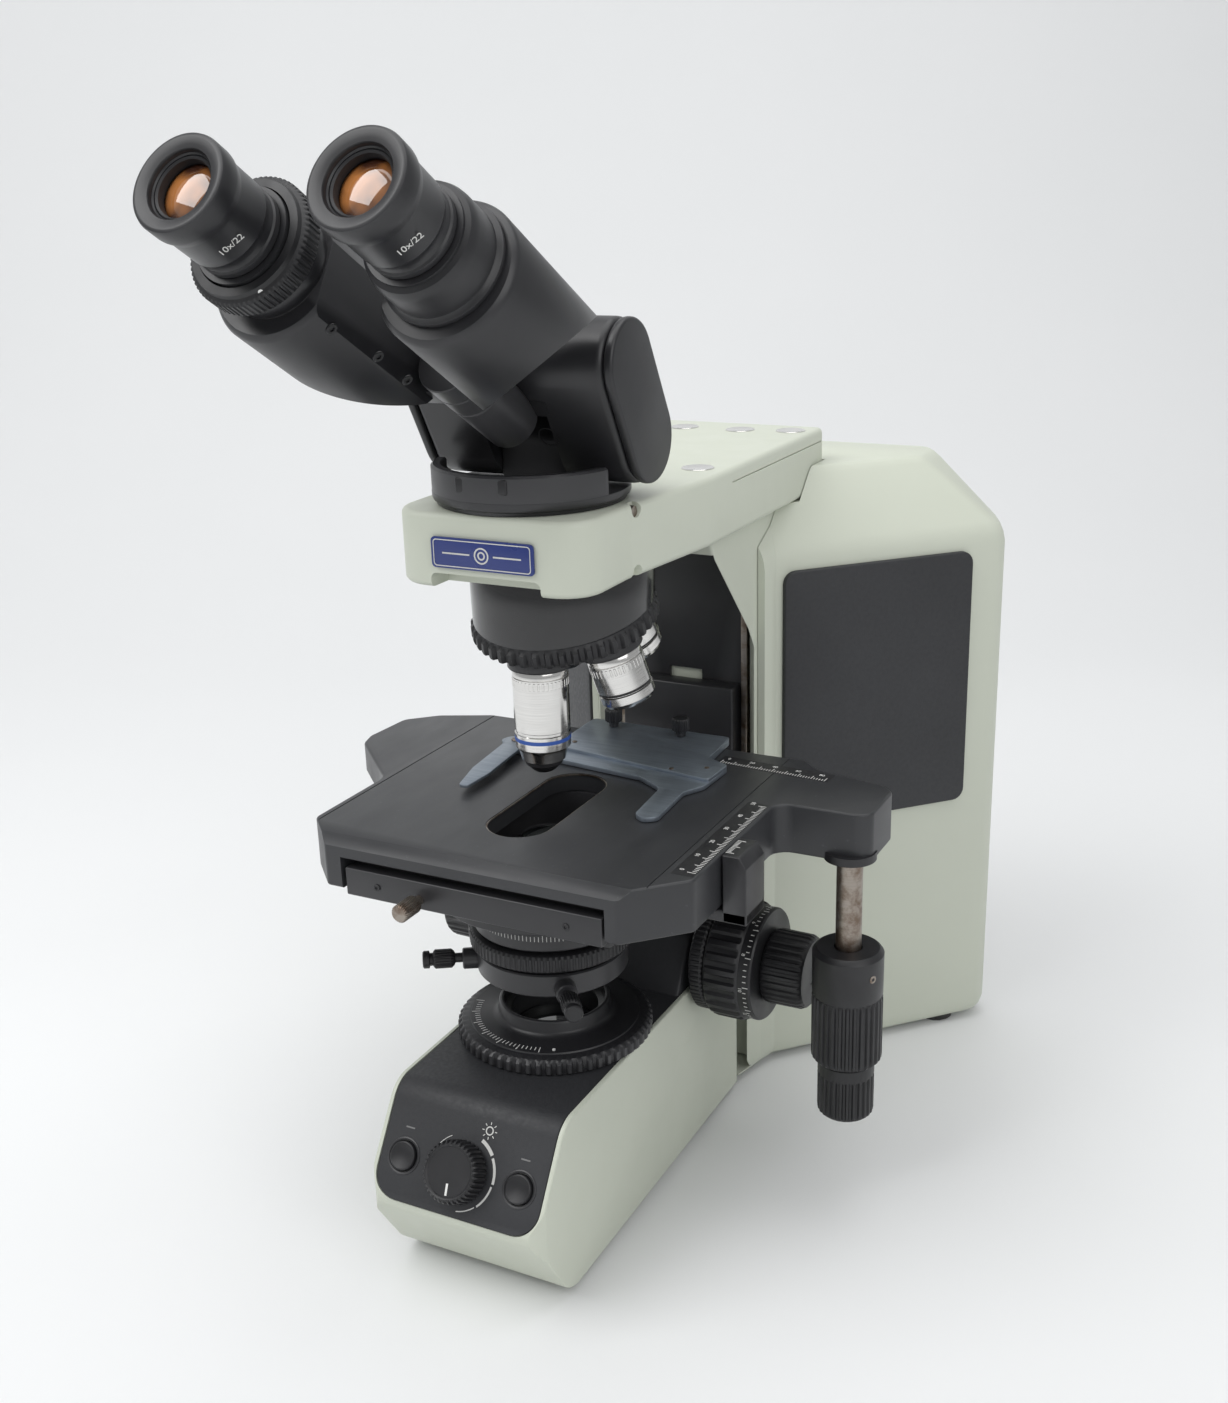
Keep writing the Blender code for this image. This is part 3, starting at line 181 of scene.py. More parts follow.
def block(low, high, edge=0.0, rows=3):
    """A box between two corners with all its edges rounded."""
    bm = bmesh.new()
    bmesh.ops.create_cube(bm, size=1.0)
    bmesh.ops.scale(bm, vec=[high[i] - low[i] for i in range(3)], verts=bm.verts)
    bmesh.ops.translate(bm, vec=[(high[i] + low[i]) / 2 for i in range(3)], verts=bm.verts)
    if edge:
        bmesh.ops.bevel(bm, geom=list(bm.edges), offset=edge, segments=rows, profile=0.5, affect="EDGES")
    return bm


def loft(levels):
    """A closed solid through outlines of as many points, given as 3-D rings."""
    bm = bmesh.new()
    rings = [[bm.verts.new(point) for point in level] for level in levels]
    count = len(rings[0])
    for low, high in zip(rings, rings[1:]):
        for i in range(count):
            j = (i + 1) % count
            bm.faces.new((low[i], low[j], high[j], high[i]))
    bm.faces.new(rings[0])
    bm.faces.new(rings[-1])
    bmesh.ops.recalc_face_normals(bm, faces=bm.faces)
    return bm


def stadium(lower, upper, radius, steps=16):
    """Outline round two centres."""
    start = math.atan2(upper[1] - lower[1], upper[0] - lower[0])
    points = []
    for centre, first in ((upper, start - math.pi / 2), (lower, start + math.pi / 2)):
        for k in range(steps + 1):
            angle = first + math.pi * k / steps
            points.append((centre[0] + radius * math.cos(angle), centre[1] + radius * math.sin(angle)))
    return points


def slice_off(bm, point, normal, edge=0.0):
    """Remove what lies on the normal's side of a plane, close the cut and round its rim."""
    everything = list(bm.verts) + list(bm.edges) + list(bm.faces)
    found = bmesh.ops.bisect_plane(bm, geom=everything, plane_co=point, plane_no=normal, clear_outer=True,
                                   dist=1e-5)
    rim = [g for g in found["geom_cut"] if isinstance(g, bmesh.types.BMEdge)]
    bmesh.ops.holes_fill(bm, edges=rim, sides=0)
    bmesh.ops.recalc_face_normals(bm, faces=bm.faces)
    if edge:
        rim = [e for e in rim if e.is_valid]
        bmesh.ops.bevel(bm, geom=rim, offset=edge, segments=3, profile=0.5, affect="EDGES", clamp_overlap=True)
    return bm


def merged(*shapes):
    """Several closed shapes in one mesh."""
    whole = bmesh.new()
    for shape in shapes:
        part = bpy.data.meshes.new("part")
        shape.to_mesh(part)
        shape.free()
        whole.from_mesh(part)
        bpy.data.meshes.remove(part)
    return whole


def moved(bm, matrix):
    bmesh.ops.transform(bm, matrix=matrix, verts=bm.verts)
    if matrix.to_3x3().determinant() < 0:
        bmesh.ops.reverse_faces(bm, faces=bm.faces)
    return bm


def disc(radius, low, high, edge=0.0, steps=48):
    """A round bar along +Z with eased rims."""
    if edge:
        profile = [(0, low), (radius - edge, low), (radius, low + edge), (radius, high - edge),
                   (radius - edge, high), (0, high)]
    else:
        profile = [(0, low), (radius, low), (radius, high), (0, high)]
    return turned(profile, steps)


def text_shape(words, size, depth=SKIN):
    """Raised figures in the XY plane, centred on the origin."""
    curve = bpy.data.curves.new("figures", "FONT")
    curve.body = words
    curve.size = size
    curve.extrude = depth / 2
    curve.align_x = "CENTER"
    curve.align_y = "CENTER"
    holder = bpy.data.objects.new("figures", curve)
    bpy.context.scene.collection.objects.link(holder)
    bpy.context.view_layer.update()
    mesh = bpy.data.meshes.new_from_object(holder)
    bm = bmesh.new()
    bm.from_mesh(mesh)
    bpy.data.objects.remove(holder)
    bpy.data.curves.remove(curve)
    bpy.data.meshes.remove(mesh)
    return bm


# ------------------------------------------------------------------- storing
def store(name, bm, matrix, angle=32.0):
    mesh = bpy.data.meshes.new(name)
    bmesh.ops.scale(bm, vec=(MM, MM, MM), verts=bm.verts)
    bmesh.ops.remove_doubles(bm, verts=bm.verts, dist=1e-7)
    bm.to_mesh(mesh)
    bm.free()
    mesh.shade_smooth()
    mesh.set_sharp_from_angle(angle=math.radians(angle))
    obj = bpy.data.objects.new(name, mesh)
    bpy.context.scene.collection.objects.link(obj)
    place = matrix.copy()
    place.translation = matrix.translation * MM
    obj.matrix_world = place
    return obj


def carve(obj, tools):
    """Apply Boolean changes: each tool is (operation, mesh) in the piece's own millimetres."""
    helpers = []
    for operation, shape in tools:
        helper = store(obj.name + "_tool", shape, at())
        helper.matrix_world = obj.matrix_world
        helpers.append(helper)
        change = obj.modifiers.new("carve", "BOOLEAN")
        change.operation = operation
        change.solver = "EXACT"
        change.object = helper
    bpy.context.view_layer.update()
    graph = bpy.context.evaluated_depsgraph_get()
    mesh = bpy.data.meshes.new_from_object(obj.evaluated_get(graph))
    obj.modifiers.clear()
    obj.data = mesh
    mesh.name = obj.name
    for helper in helpers:
        bpy.data.objects.remove(helper)
    mesh.shade_smooth()
    mesh.set_sharp_from_angle(angle=math.radians(32.0))
    return obj


def piece(name, bm, body, finish, replaces=(), matrix=None, cuts=(), angle=32.0):
    """Store a visible piece, give it its finish and let it ride on its body."""
    obj = store(name, bm, matrix or at(), angle)
    if cuts:
        carve(obj, cuts)
    obj.data.materials.clear()
    obj.data.materials.append(FINISHES[finish]())
    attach(obj, body)
    if replaces:
        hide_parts(*replaces)
    return obj


# ------------------------------------------------------------------ finishes
class Nodes:
    """Short ways to add and join shader nodes."""

    def __init__(self, name):
        self.material = bpy.data.materials.new(name)
        self.material.use_nodes = True
        self.tree = self.material.node_tree
        self.shader = self.tree.nodes["Principled BSDF"]
        self.where = self.add("ShaderNodeTexCoord").outputs["Object"]

    def add(self, kind, **values):
        node = self.tree.nodes.new(kind)
        for key, value in values.items():
            setattr(node, key, value)
        return node

    def join(self, out, into):
        self.tree.links.new(out, into)

    def stretched(self, scale):
        mapping = self.add("ShaderNodeMapping")
        mapping.inputs["Scale"].default_value = scale
        self.join(self.where, mapping.inputs["Vector"])
        return mapping.outputs["Vector"]

    def noise(self, scale, detail=3.0, roughness=0.5, vector=None):
        node = self.add("ShaderNodeTexNoise")
        node.inputs["Scale"].default_value = scale
        node.inputs["Detail"].default_value = detail
        node.inputs["Roughness"].default_value = roughness
        self.join(vector or self.where, node.inputs["Vector"])
        return node.outputs["Fac"]

    def spread(self, value, low, high, to_low, to_high):
        node = self.add("ShaderNodeMapRange")
        for key, number in zip(("From Min", "From Max", "To Min", "To Max"), (low, high, to_low, to_high)):
            node.inputs[key].default_value = number
        self.join(value, node.inputs["Value"])
        return node.outputs["Result"]

    def mix(self, factor, first, second):
        node = self.add("ShaderNodeMix", data_type="RGBA")
        self.join(factor, node.inputs["Factor"])
        for key, colour in ((6, first), (7, second)):
            if isinstance(colour, (tuple, list)):
                node.inputs[key].default_value = (*colour[:3], 1.0)
            else:
                self.join(colour, node.inputs[key])
        return node.outputs[2]

    def bump(self, height, strength, distance=0.0001):
        node = self.add("ShaderNodeBump")
        node.inputs["Strength"].default_value = strength
        node.inputs["Distance"].default_value = distance
        self.join(height, node.inputs["Height"])
        self.join(node.outputs["Normal"], self.shader.inputs["Normal"])

    def colour(self, value):
        self.join(value, self.shader.inputs["Base Color"])

    def rough(self, value):
        self.join(value, self.shader.inputs["Roughness"])


def shade(colour, factor):
    return tuple(min(1.0, channel * factor) for channel in colour[:3])


def painted(name, colour, low_gloss, high_gloss, grain=700.0, relief=0.12, patch=0.03):
    """Sprayed paint: slight clouding of the colour, orange peel and uneven gloss."""
    n = Nodes(name)
    cloud = n.spread(n.noise(9.0, 4.0), 0.35, 0.65, 0.0, 1.0)
    n.colour(n.mix(cloud, shade(colour, 1 - patch), shade(colour, 1 + patch)))
    n.rough(n.spread(n.noise(60.0, 5.0), 0.3, 0.7, low_gloss, high_gloss))
    n.bump(n.noise(grain, 2.0), relief)
    return n.material


def cream_paint():
    return painted("cream_paint", looks().cream, 0.38, 0.5, relief=0.1, patch=0.015)


def satin_black():
    """Black enamel with a faint film of dust and brighter rubbed edges."""
    n = Nodes("satin_black")
    base = looks().black
    dust = n.spread(n.noise(14.0, 6.0, 0.65), 0.45, 0.75, 0.0, 0.5)
    film = n.mix(dust, shade(base, 1.0), shade(base, 1.8))
    edge = n.spread(n.add("ShaderNodeNewGeometry").outputs["Pointiness"], 0.53, 0.6, 0.0, 0.35)
    n.colour(n.mix(edge, film, (0.11, 0.11, 0.115)))
    n.rough(n.spread(n.noise(35.0, 5.0), 0.3, 0.7, 0.3, 0.42))
    n.bump(n.noise(1600.0, 2.0), 0.1)
    return n.material


def gloss_black():
    """Smooth lacquer on the nosepiece."""
    n = Nodes("gloss_black")
    n.colour(n.mix(n.spread(n.noise(18.0, 5.0), 0.4, 0.7, 0.0, 0.4), (0.012, 0.012, 0.013), (0.03, 0.03, 0.032)))
    n.rough(n.spread(n.noise(26.0, 5.0), 0.3, 0.7, 0.16, 0.28))
    n.shader.inputs["Coat Weight"].default_value = 0.4
    n.shader.inputs["Coat Roughness"].default_value = 0.08
    n.bump(n.noise(900.0, 2.0), 0.05)
    return n.material


def knob_black():
    """Moulded black plastic with a fine matte skin."""
    n = Nodes("knob_black")
    base = looks().black
    n.colour(n.mix(n.spread(n.noise(22.0, 6.0, 0.6), 0.45, 0.72, 0.0, 0.6), shade(base, 0.8), shade(base, 1.9)))
    n.rough(n.spread(n.noise(80.0, 4.0), 0.3, 0.7, 0.36, 0.5))
    n.bump(n.noise(2600.0, 2.0), 0.18)
    return n.material


def grained_panel():
    """Charcoal moulding with a fine leather-like grain."""
    n = Nodes("charcoal_panel")
    base = looks().charcoal
    n.colour(n.mix(n.spread(n.noise(7.0, 5.0), 0.35, 0.7, 0.0, 1.0), shade(base, 0.85), shade(base, 1.25)))
    n.rough(n.spread(n.noise(500.0, 3.0), 0.3, 0.7, 0.48, 0.62))
    cells = n.add("ShaderNodeTexVoronoi")
    cells.inputs["Scale"].default_value = 1500.0
    n.join(n.where, cells.inputs["Vector"])
    n.bump(cells.outputs["Distance"], 0.25)
    return n.material


def stage_black():
    """Hard-anodised stage: dark grey, streaked by use and bright where its edges are rubbed."""
    n = Nodes("stage_black")
    base = looks().stage
    streak = n.noise(1.0, 5.0, 0.6, n.stretched((26.0, 9.0, 26.0)))
    worn = n.mix(n.spread(streak, 0.35, 0.75, 0.0, 1.0), shade(base, 0.9), shade(base, 1.15))
    nick = n.spread(n.noise(420.0, 3.0), 0.68, 0.74, 0.0, 0.5)
    n.colour(n.mix(nick, worn, shade(base, 2.2)))
    n.rough(n.spread(streak, 0.3, 0.7, 0.3, 0.48))
    n.bump(n.noise(2200.0, 2.0), 0.12)
    return n.material


def machined(name, colour, low, high, stain=None, lines=2600.0):
    """Metal turned or ground along its own axis."""
    n = Nodes(name)
    rings = n.noise(1.0, 3.0, 0.6, n.stretched((40.0, 40.0, lines)))
    tone = n.mix(n.spread(rings, 0.3, 0.7, 0.0, 1.0), shade(colour, 0.86), shade(colour, 1.08))
    if stain:
        spot = n.spread(n.noise(110.0, 6.0, 0.65), 0.45, 0.62, 0.0, 0.85)
        tone = n.mix(spot, tone, stain)
    n.colour(tone)
    n.rough(n.spread(rings, 0.3, 0.7, low, high))
    n.shader.inputs["Metallic"].default_value = 1.0
    n.bump(rings, 0.08, 0.00005)
    return n.material


def chrome():
    return machined("chrome", (0.74, 0.73, 0.71), 0.1, 0.22)


def worn_steel():
    return machined("worn_steel", (0.36, 0.32, 0.28), 0.3, 0.5, stain=(0.16, 0.11, 0.08))


def grey_anodised():
    n = Nodes("grey_anodised")
    base = looks().holder
    streak = n.noise(1.0, 4.0, 0.6, n.stretched((30.0, 500.0, 30.0)))
    n.colour(n.mix(n.spread(streak, 0.35, 0.7, 0.0, 1.0), shade(base, 0.9), shade(base, 1.15)))
    n.rough(n.spread(n.noise(90.0, 5.0), 0.3, 0.7, 0.3, 0.42))
    n.shader.inputs["Metallic"].default_value = 0.75
    n.bump(n.noise(2400.0, 2.0), 0.1)
    return n.material


def amber_lens():
    """Coated eyepiece glass: dark, with warm reflections from the lenses behind it painted into its colour as orange
    patches.
    """
    n = Nodes("amber_lens")
    swirl = n.noise(70.0, 2.0, 0.4)
    # painted reflection: the orange patches mixed into the dark glass colour stand in for light reflected from the
    # lenses behind
    painted_reflection = n.spread(swirl, 0.42, 0.62, 0.0, 1.0)
    n.colour(n.mix(painted_reflection, (0.05, 0.015, 0.006), (0.42, 0.16, 0.04)))
    n.rough(n.spread(swirl, 0.0, 1.0, 0.03, 0.06))
    n.shader.inputs["Coat Weight"].default_value = 1.0
    n.shader.inputs["Coat Roughness"].default_value = 0.02
    n.shader.inputs["IOR"].default_value = 1.7
    return n.material


def dark_lens():
    """Field and condenser glass over a dark bore."""
    n = Nodes("dark_lens")
    swirl = n.noise(45.0, 2.0, 0.4)
    n.colour(n.mix(n.spread(swirl, 0.4, 0.65, 0.0, 1.0), (0.006, 0.007, 0.008), (0.05, 0.055, 0.05)))
    n.rough(n.spread(swirl, 0.0, 1.0, 0.02, 0.06))
    n.shader.inputs["Coat Weight"].default_value = 1.0
    n.shader.inputs["Coat Roughness"].default_value = 0.02
    return n.material


def pale_print():
    return painted("pale_print", (0.62, 0.62, 0.6), 0.5, 0.65, grain=3000.0, relief=0.05, patch=0.12)


def faint_print():
    return painted("faint_print", (0.2, 0.2, 0.2), 0.5, 0.65, grain=3000.0, relief=0.05, patch=0.12)


def blue_enamel():
    return painted("badge_blue", looks().badge, 0.25, 0.35, grain=1200.0, relief=0.06, patch=0.08)


def blue_band():
    return painted("blue_band", (0.03, 0.1, 0.42), 0.25, 0.4, grain=1500.0, relief=0.05, patch=0.08)


def foot_rubber():
    return painted("foot_rubber", (0.025, 0.025, 0.025), 0.7, 0.85, grain=1800.0, relief=0.4, patch=0.2)


def circuit_board():
    return painted("board", (0.04, 0.16, 0.07), 0.35, 0.5, grain=1500.0, relief=0.2, patch=0.15)


def silvered():
    return machined("mirror", (0.88, 0.88, 0.88), 0.02, 0.05)


def white_figures():
    return painted("white_figures", (0.8, 0.8, 0.78), 0.5, 0.6, grain=3000.0, relief=0.05, patch=0.06)


def kept(make):
    """A finish that is made once and then shared."""
    def again():
        found = bpy.data.materials.get(make.__name__ + "_finish")
        if found is None:
            found = make()
            found.name = make.__name__ + "_finish"
        return found
    return again


FINISHES = {make.__name__: kept(make) for make in (
    cream_paint, satin_black, gloss_black, knob_black, grained_panel, stage_black, chrome, worn_steel,
    grey_anodised, amber_lens, dark_lens, pale_print, faint_print, blue_enamel, blue_band, foot_rubber,
    circuit_board, silvered, white_figures)}


# --------------------------------------------------------------- user values
def colour_value(name, description, default):
    return bpy.props.FloatVectorProperty(name=name, description=description, default=default, size=3,
                                         subtype="COLOR", min=0.0, max=1.0)


class MicroscopeColours(bpy.types.PropertyGroup):
    cream: colour_value("Cream", "Paint of the frame", (0.58, 0.61, 0.52))
    black: colour_value("Black", "Enamel and moulded knobs", (0.016, 0.016, 0.018))
    charcoal: colour_value("Charcoal", "Grained covers", (0.026, 0.027, 0.03))
    stage: colour_value("Stage", "Anodised stage plate", (0.03, 0.031, 0.034))
    holder: colour_value("Slide holder", "Grey anodised holder", (0.27, 0.31, 0.36))
    badge: colour_value("Badge", "Blank plate on the nose", (0.022, 0.04, 0.19))


class MicroscopeDetail(bpy.types.PropertyGroup):
    field_ribs: bpy.props.IntProperty(name="Field ring ribs", description="Ribs round the field ring",
                                      default=60, min=12, max=120)
    turret_ribs: bpy.props.IntProperty(name="Nosepiece ribs", description="Ribs round the nosepiece ring",
                                       default=44, min=12, max=120)
    focus_ribs: bpy.props.IntProperty(name="Focus ribs", description="Long ribs on each coarse knob",
                                      default=26, min=8, max=80)
    fine_ribs: bpy.props.IntProperty(name="Fine ribs", description="Ribs on the fine knobs, drive knobs and small rings",
                                     default=30, min=8, max=120)
    cast_edge: bpy.props.FloatProperty(name="Cast edge", description="Rounding of the painted castings, in millimetres",
                                       default=3.0, min=0.5, max=6.0)
    plate_edge: bpy.props.FloatProperty(name="Plate edge", description="Rounding of machined plates, in millimetres",
                                        default=1.0, min=0.2, max=2.0)


def looks():
    return bpy.context.scene.microscope_colours


def detail():
    return bpy.context.scene.microscope_detail


# --------------------------------------------------------- repeated details
def face_ticks(count, first, last, inner, outer, height, width=0.45, every=5, short=0.6):
    """Radial marks on a face square to +Z, with every few of them full length."""
    marks = []
    for k in range(count):
        reach = outer if k % every == 0 else inner + (outer - inner) * short
        mark = block((inner, -width / 2, height), (reach, width / 2, height + SKIN))
        marks.append(moved(mark, spin(first + (last - first) * k / (count - 1))))
    return merged(*marks)


def side_ticks(count, first, last, radius, low, high, width=0.45, every=5, short=0.6):
    """Upright marks on the wall of a round piece."""
    marks = []
    for k in range(count):
        reach = high if k % every == 0 else low + (high - low) * short
        mark = block((radius - 0.3, -width / 2, low), (radius + SKIN, width / 2, reach))
        marks.append(moved(mark, spin(first + (last - first) * k / (count - 1))))
    return merged(*marks)


def row_ticks(count, start, end, side, length, height, every=5):
    """Marks along a straight scale, from one point to another in the XY plane."""
    start, end = Vector(start), Vector(end)
    turn = math.degrees(math.atan2(side[1], side[0]))
    marks = []
    for k in range(count):
        here = start + (end - start) * (k / (count - 1))
        reach = length if k % every == 0 else length * 0.55
        mark = block((0, -0.15, height), (reach, 0.15, height + SKIN))
        marks.append(moved(mark, at(here.x, here.y, 0) @ spin(turn)))
    return merged(*marks)


def screw_head(radius, height, slot_width=0.0):
    """Small pan head, with a hexagon socket when no slot is asked for."""
    head = disc(radius, 0, height, 0.25 * height, 24)
    if slot_width:
        return head, [("DIFFERENCE", block((-radius - 1, -slot_width / 2, height * 0.5),
                                           (radius + 1, slot_width / 2, height + 1)))]
    hexagon = [(0.5 * radius * math.cos(TAU * k / 6), 0.5 * radius * math.sin(TAU * k / 6)) for k in range(6)]
    return head, [("DIFFERENCE", plate(hexagon, height * 0.3, height + 1))]


def add_screw(name, body, matrix, radius=1.8, height=0.8, slot_width=0.0, finish="knob_black"):
    head, cuts = screw_head(radius, height, slot_width)
    return piece(name, head, body, finish, matrix=matrix, cuts=cuts)


# -------------------------------------------------------------------- places
PANEL_LIFT = 3.2                     # the front cover stands this far off the frame's casting
KNOB_PLACE = joint_place("light_knob_turn")
TURRET_PLACE = joint_place("turret_turn")
TUBE_PLACE = joint_place("swing_right_turn")
FOCUS_PLACE = joint_place("coarse_turn")
TILT_AT = joint_place("head_tilt").translation
BASE_LOW, BASE_HIGH = span("base_housing")
STAGE_LOW, STAGE_HIGH = span("stage_top")
ARM_LOW, ARM_HIGH = span("arm")
SLOPE_RUN = KNOB_PLACE.to_3x3() @ Vector((0, 1, 0))
SLOPE_OUT = KNOB_PLACE.to_3x3() @ Vector((0, 0, 1))
TUBE_HALF = -joint_place("dioptre_turn").translation.x
TUBE_RISE = 8.0                      # eyepiece axis above the swing axis


def slope_point(nose, height, lift):
    """(y, z) on the sloped front, from the casting's foremost edge."""
    run = (height - nose[1]) / SLOPE_RUN.z
    return (nose[0] + SLOPE_RUN.y * run + SLOPE_OUT.y * lift, nose[1] + SLOPE_RUN.z * run + SLOPE_OUT.z * lift)


NOSE_EDGE = (BASE_LOW.y, 43.0)
BEND_Y = NOSE_EDGE[0] + SLOPE_RUN.y * (BASE_HIGH.z - NOSE_EDGE[1]) / SLOPE_RUN.z


# ----------------------------------------------------------------- operators
class MICROSCOPE_OT_base(bpy.types.Operator):
    """Painted base with its sloped front, a recess for the dark cover and rubber feet"""
    bl_idname = "microscope.base"
    bl_label = "Base"

    def execute(self, context):
        half = BASE_HIGH.x
        top = BASE_HIGH.z + PANEL_LIFT
        low_front = slope_point(NOSE_EDGE, NOSE_EDGE[1], PANEL_LIFT)
        lean = math.tan(math.atan2(SLOPE_RUN.z, SLOPE_RUN.y) / 2)
        bend = (BEND_Y - PANEL_LIFT * lean, top)
        outline = [(NOSE_EDGE[0] + 26, 0), (BASE_HIGH.y, 0), (BASE_HIGH.y, BASE_HIGH.z), (BASE_HIGH.y - 12, top),
                   bend,
                   low_front]
        shell = plate(rounded(outline, [18, 0, 1, 4, 16, 12], 8), -half, half, "X", 5.0, 5)
        recess = half - 2.2
        first = slope_point(NOSE_EDGE, NOSE_EDGE[1] + 1.6, 0.2)
        sloped = moved(plate(rounded([(-recess, 0), (recess, 0), (recess, 90), (-recess, 90)], [13, 13, 0, 0], 8), 0,
                             40),
                       Matrix.Translation((0, first[0], first[1])) @ KNOB_PLACE.to_3x3().to_4x4())
        flat = block((-recess, BEND_Y - 1, BASE_HIGH.z + 0.2), (recess, BASE_HIGH.y + 5, top + 20))
        front = low_front[0] - 0.1
        plan = rounded([(-half - 1, front), (half + 1, front), (half + 1, 140), (-half - 1, 140)], [15, 15, 0, 0], 8)
        piece("base_shell", shell, "frame", "cream_paint", ["base_housing"],
              cuts=[("INTERSECT", plate(plan, -5, 140)), ("DIFFERENCE", sloped), ("DIFFERENCE", flat)])
        low, high = span("base_plate")
        spots = [(30, NOSE_EDGE[0] + 52), (30, BASE_HIGH.y - 18), (high.x - 10, 254)]
        pads = []
        for x, y in spots + [(-x, y) for x, y in spots]:
            pad = turned([(0, low.z), (7.2, low.z), (8.4, low.z + 0.8), (9.2, 0.4), (0, 0.4)], 40)
            pads.append(moved(pad, at(x, y)))
        piece("rubber_feet", merged(*pads), "frame", "foot_rubber")
        return {"FINISHED"}


def cover_strip(stations, depth=2.9, ease=0.9):
    """A bent sheet through stations of (y, z), its normal and its half width."""
    sections = []
    for (y, z), (ny, nz), half in stations:
        across = [(-half, -depth), (-half, -ease), (-half + 0.25 * ease, -0.3 * ease), (-half + ease, 0),
                  (half - ease, 0), (half - 0.25 * ease, -0.3 * ease), (half, -ease), (half, -depth)]
        sections.append([(x, y + ny * lift, z + nz * lift) for x, lift in across])
    return loft(sections)


class MICROSCOPE_OT_cover(bpy.types.Operator):
    """Grained dark cover: sloped front, smooth bend, flat top and the focus casing"""
    bl_idname = "microscope.cover"
    bl_label = "Dark cover"

    def execute(self, context):
        half = BASE_HIGH.x - 2.6
        corner = 12.5
        stations = []
        out = (SLOPE_OUT.y, SLOPE_OUT.z)
        first = slope_point(NOSE_EDGE, NOSE_EDGE[1] + 2.0, PANEL_LIFT)
        for k in range(9):
            turn = math.pi / 2 * k / 8
            s = corner * (1 - math.cos(turn)) + 0.01
            width = half - corner + corner * math.sin(turn)
            stations.append(((first[0] + SLOPE_RUN.y * s, first[1] + SLOPE_RUN.z * s), out, width))
        lean = math.atan2(SLOPE_RUN.z, SLOPE_RUN.y)
        bend_radius = 14.0
        reach = bend_radius * math.tan(lean / 2)
        bend = (BEND_Y - PANEL_LIFT * math.tan(lean / 2), BASE_HIGH.z + PANEL_LIFT)
        centre = (bend[0] + reach, bend[1] - bend_radius)
        for k in range(11):
            angle = math.pi / 2 + lean * (1 - k / 10)
            normal = (math.cos(angle), math.sin(angle))
            stations.append(((centre[0] + bend_radius * normal[0], centre[1] + bend_radius * normal[1]), normal,
                             half))
        low, high = span("control_panel")
        stations.append(((high.y - 60, bend[1]), (0, 1), half))
        wells = []
        for name in ("button_left", "button_right"):
            near, far = span(name)
            well = disc(7.3, -8, 6)
            wells.append(("DIFFERENCE", moved(well, KNOB_PLACE @ at((near.x + far.x) / 2, 0, 0))))
        piece("front_cover", cover_strip(stations), "frame", "grained_panel", ["control_panel"],
              cuts=wells)
        casing = [(high.y, BASE_HIGH.z + 0.4), (high.y, high.z), (high.y - 78, high.z), (high.y - 90, bend[1] + 9),
                  (high.y - 97, bend[1] - 1.5)]
        centre = FOCUS_PLACE.translation
        bosses = [moved(disc(15.0, -half - 3.5, half + 3.5, 1.0), FOCUS_PLACE)]
        body = plate(rounded(casing, [0, 2, 9, 9, 0], 6), -half, half, "X", 2.0, 4)
        piece("focus_casing", merged(body, *bosses), "frame", "grained_panel")
        rails = [block((side * 12 - 3, high.y - 16, centre.z + 8), (side * 12 + 3, high.y - 6, high.z + 1.2), 0.6)
                 for side in (-1, 1)]
        piece("casing_ribs", merged(*rails), "frame", "knob_black")
        return {"FINISHED"}


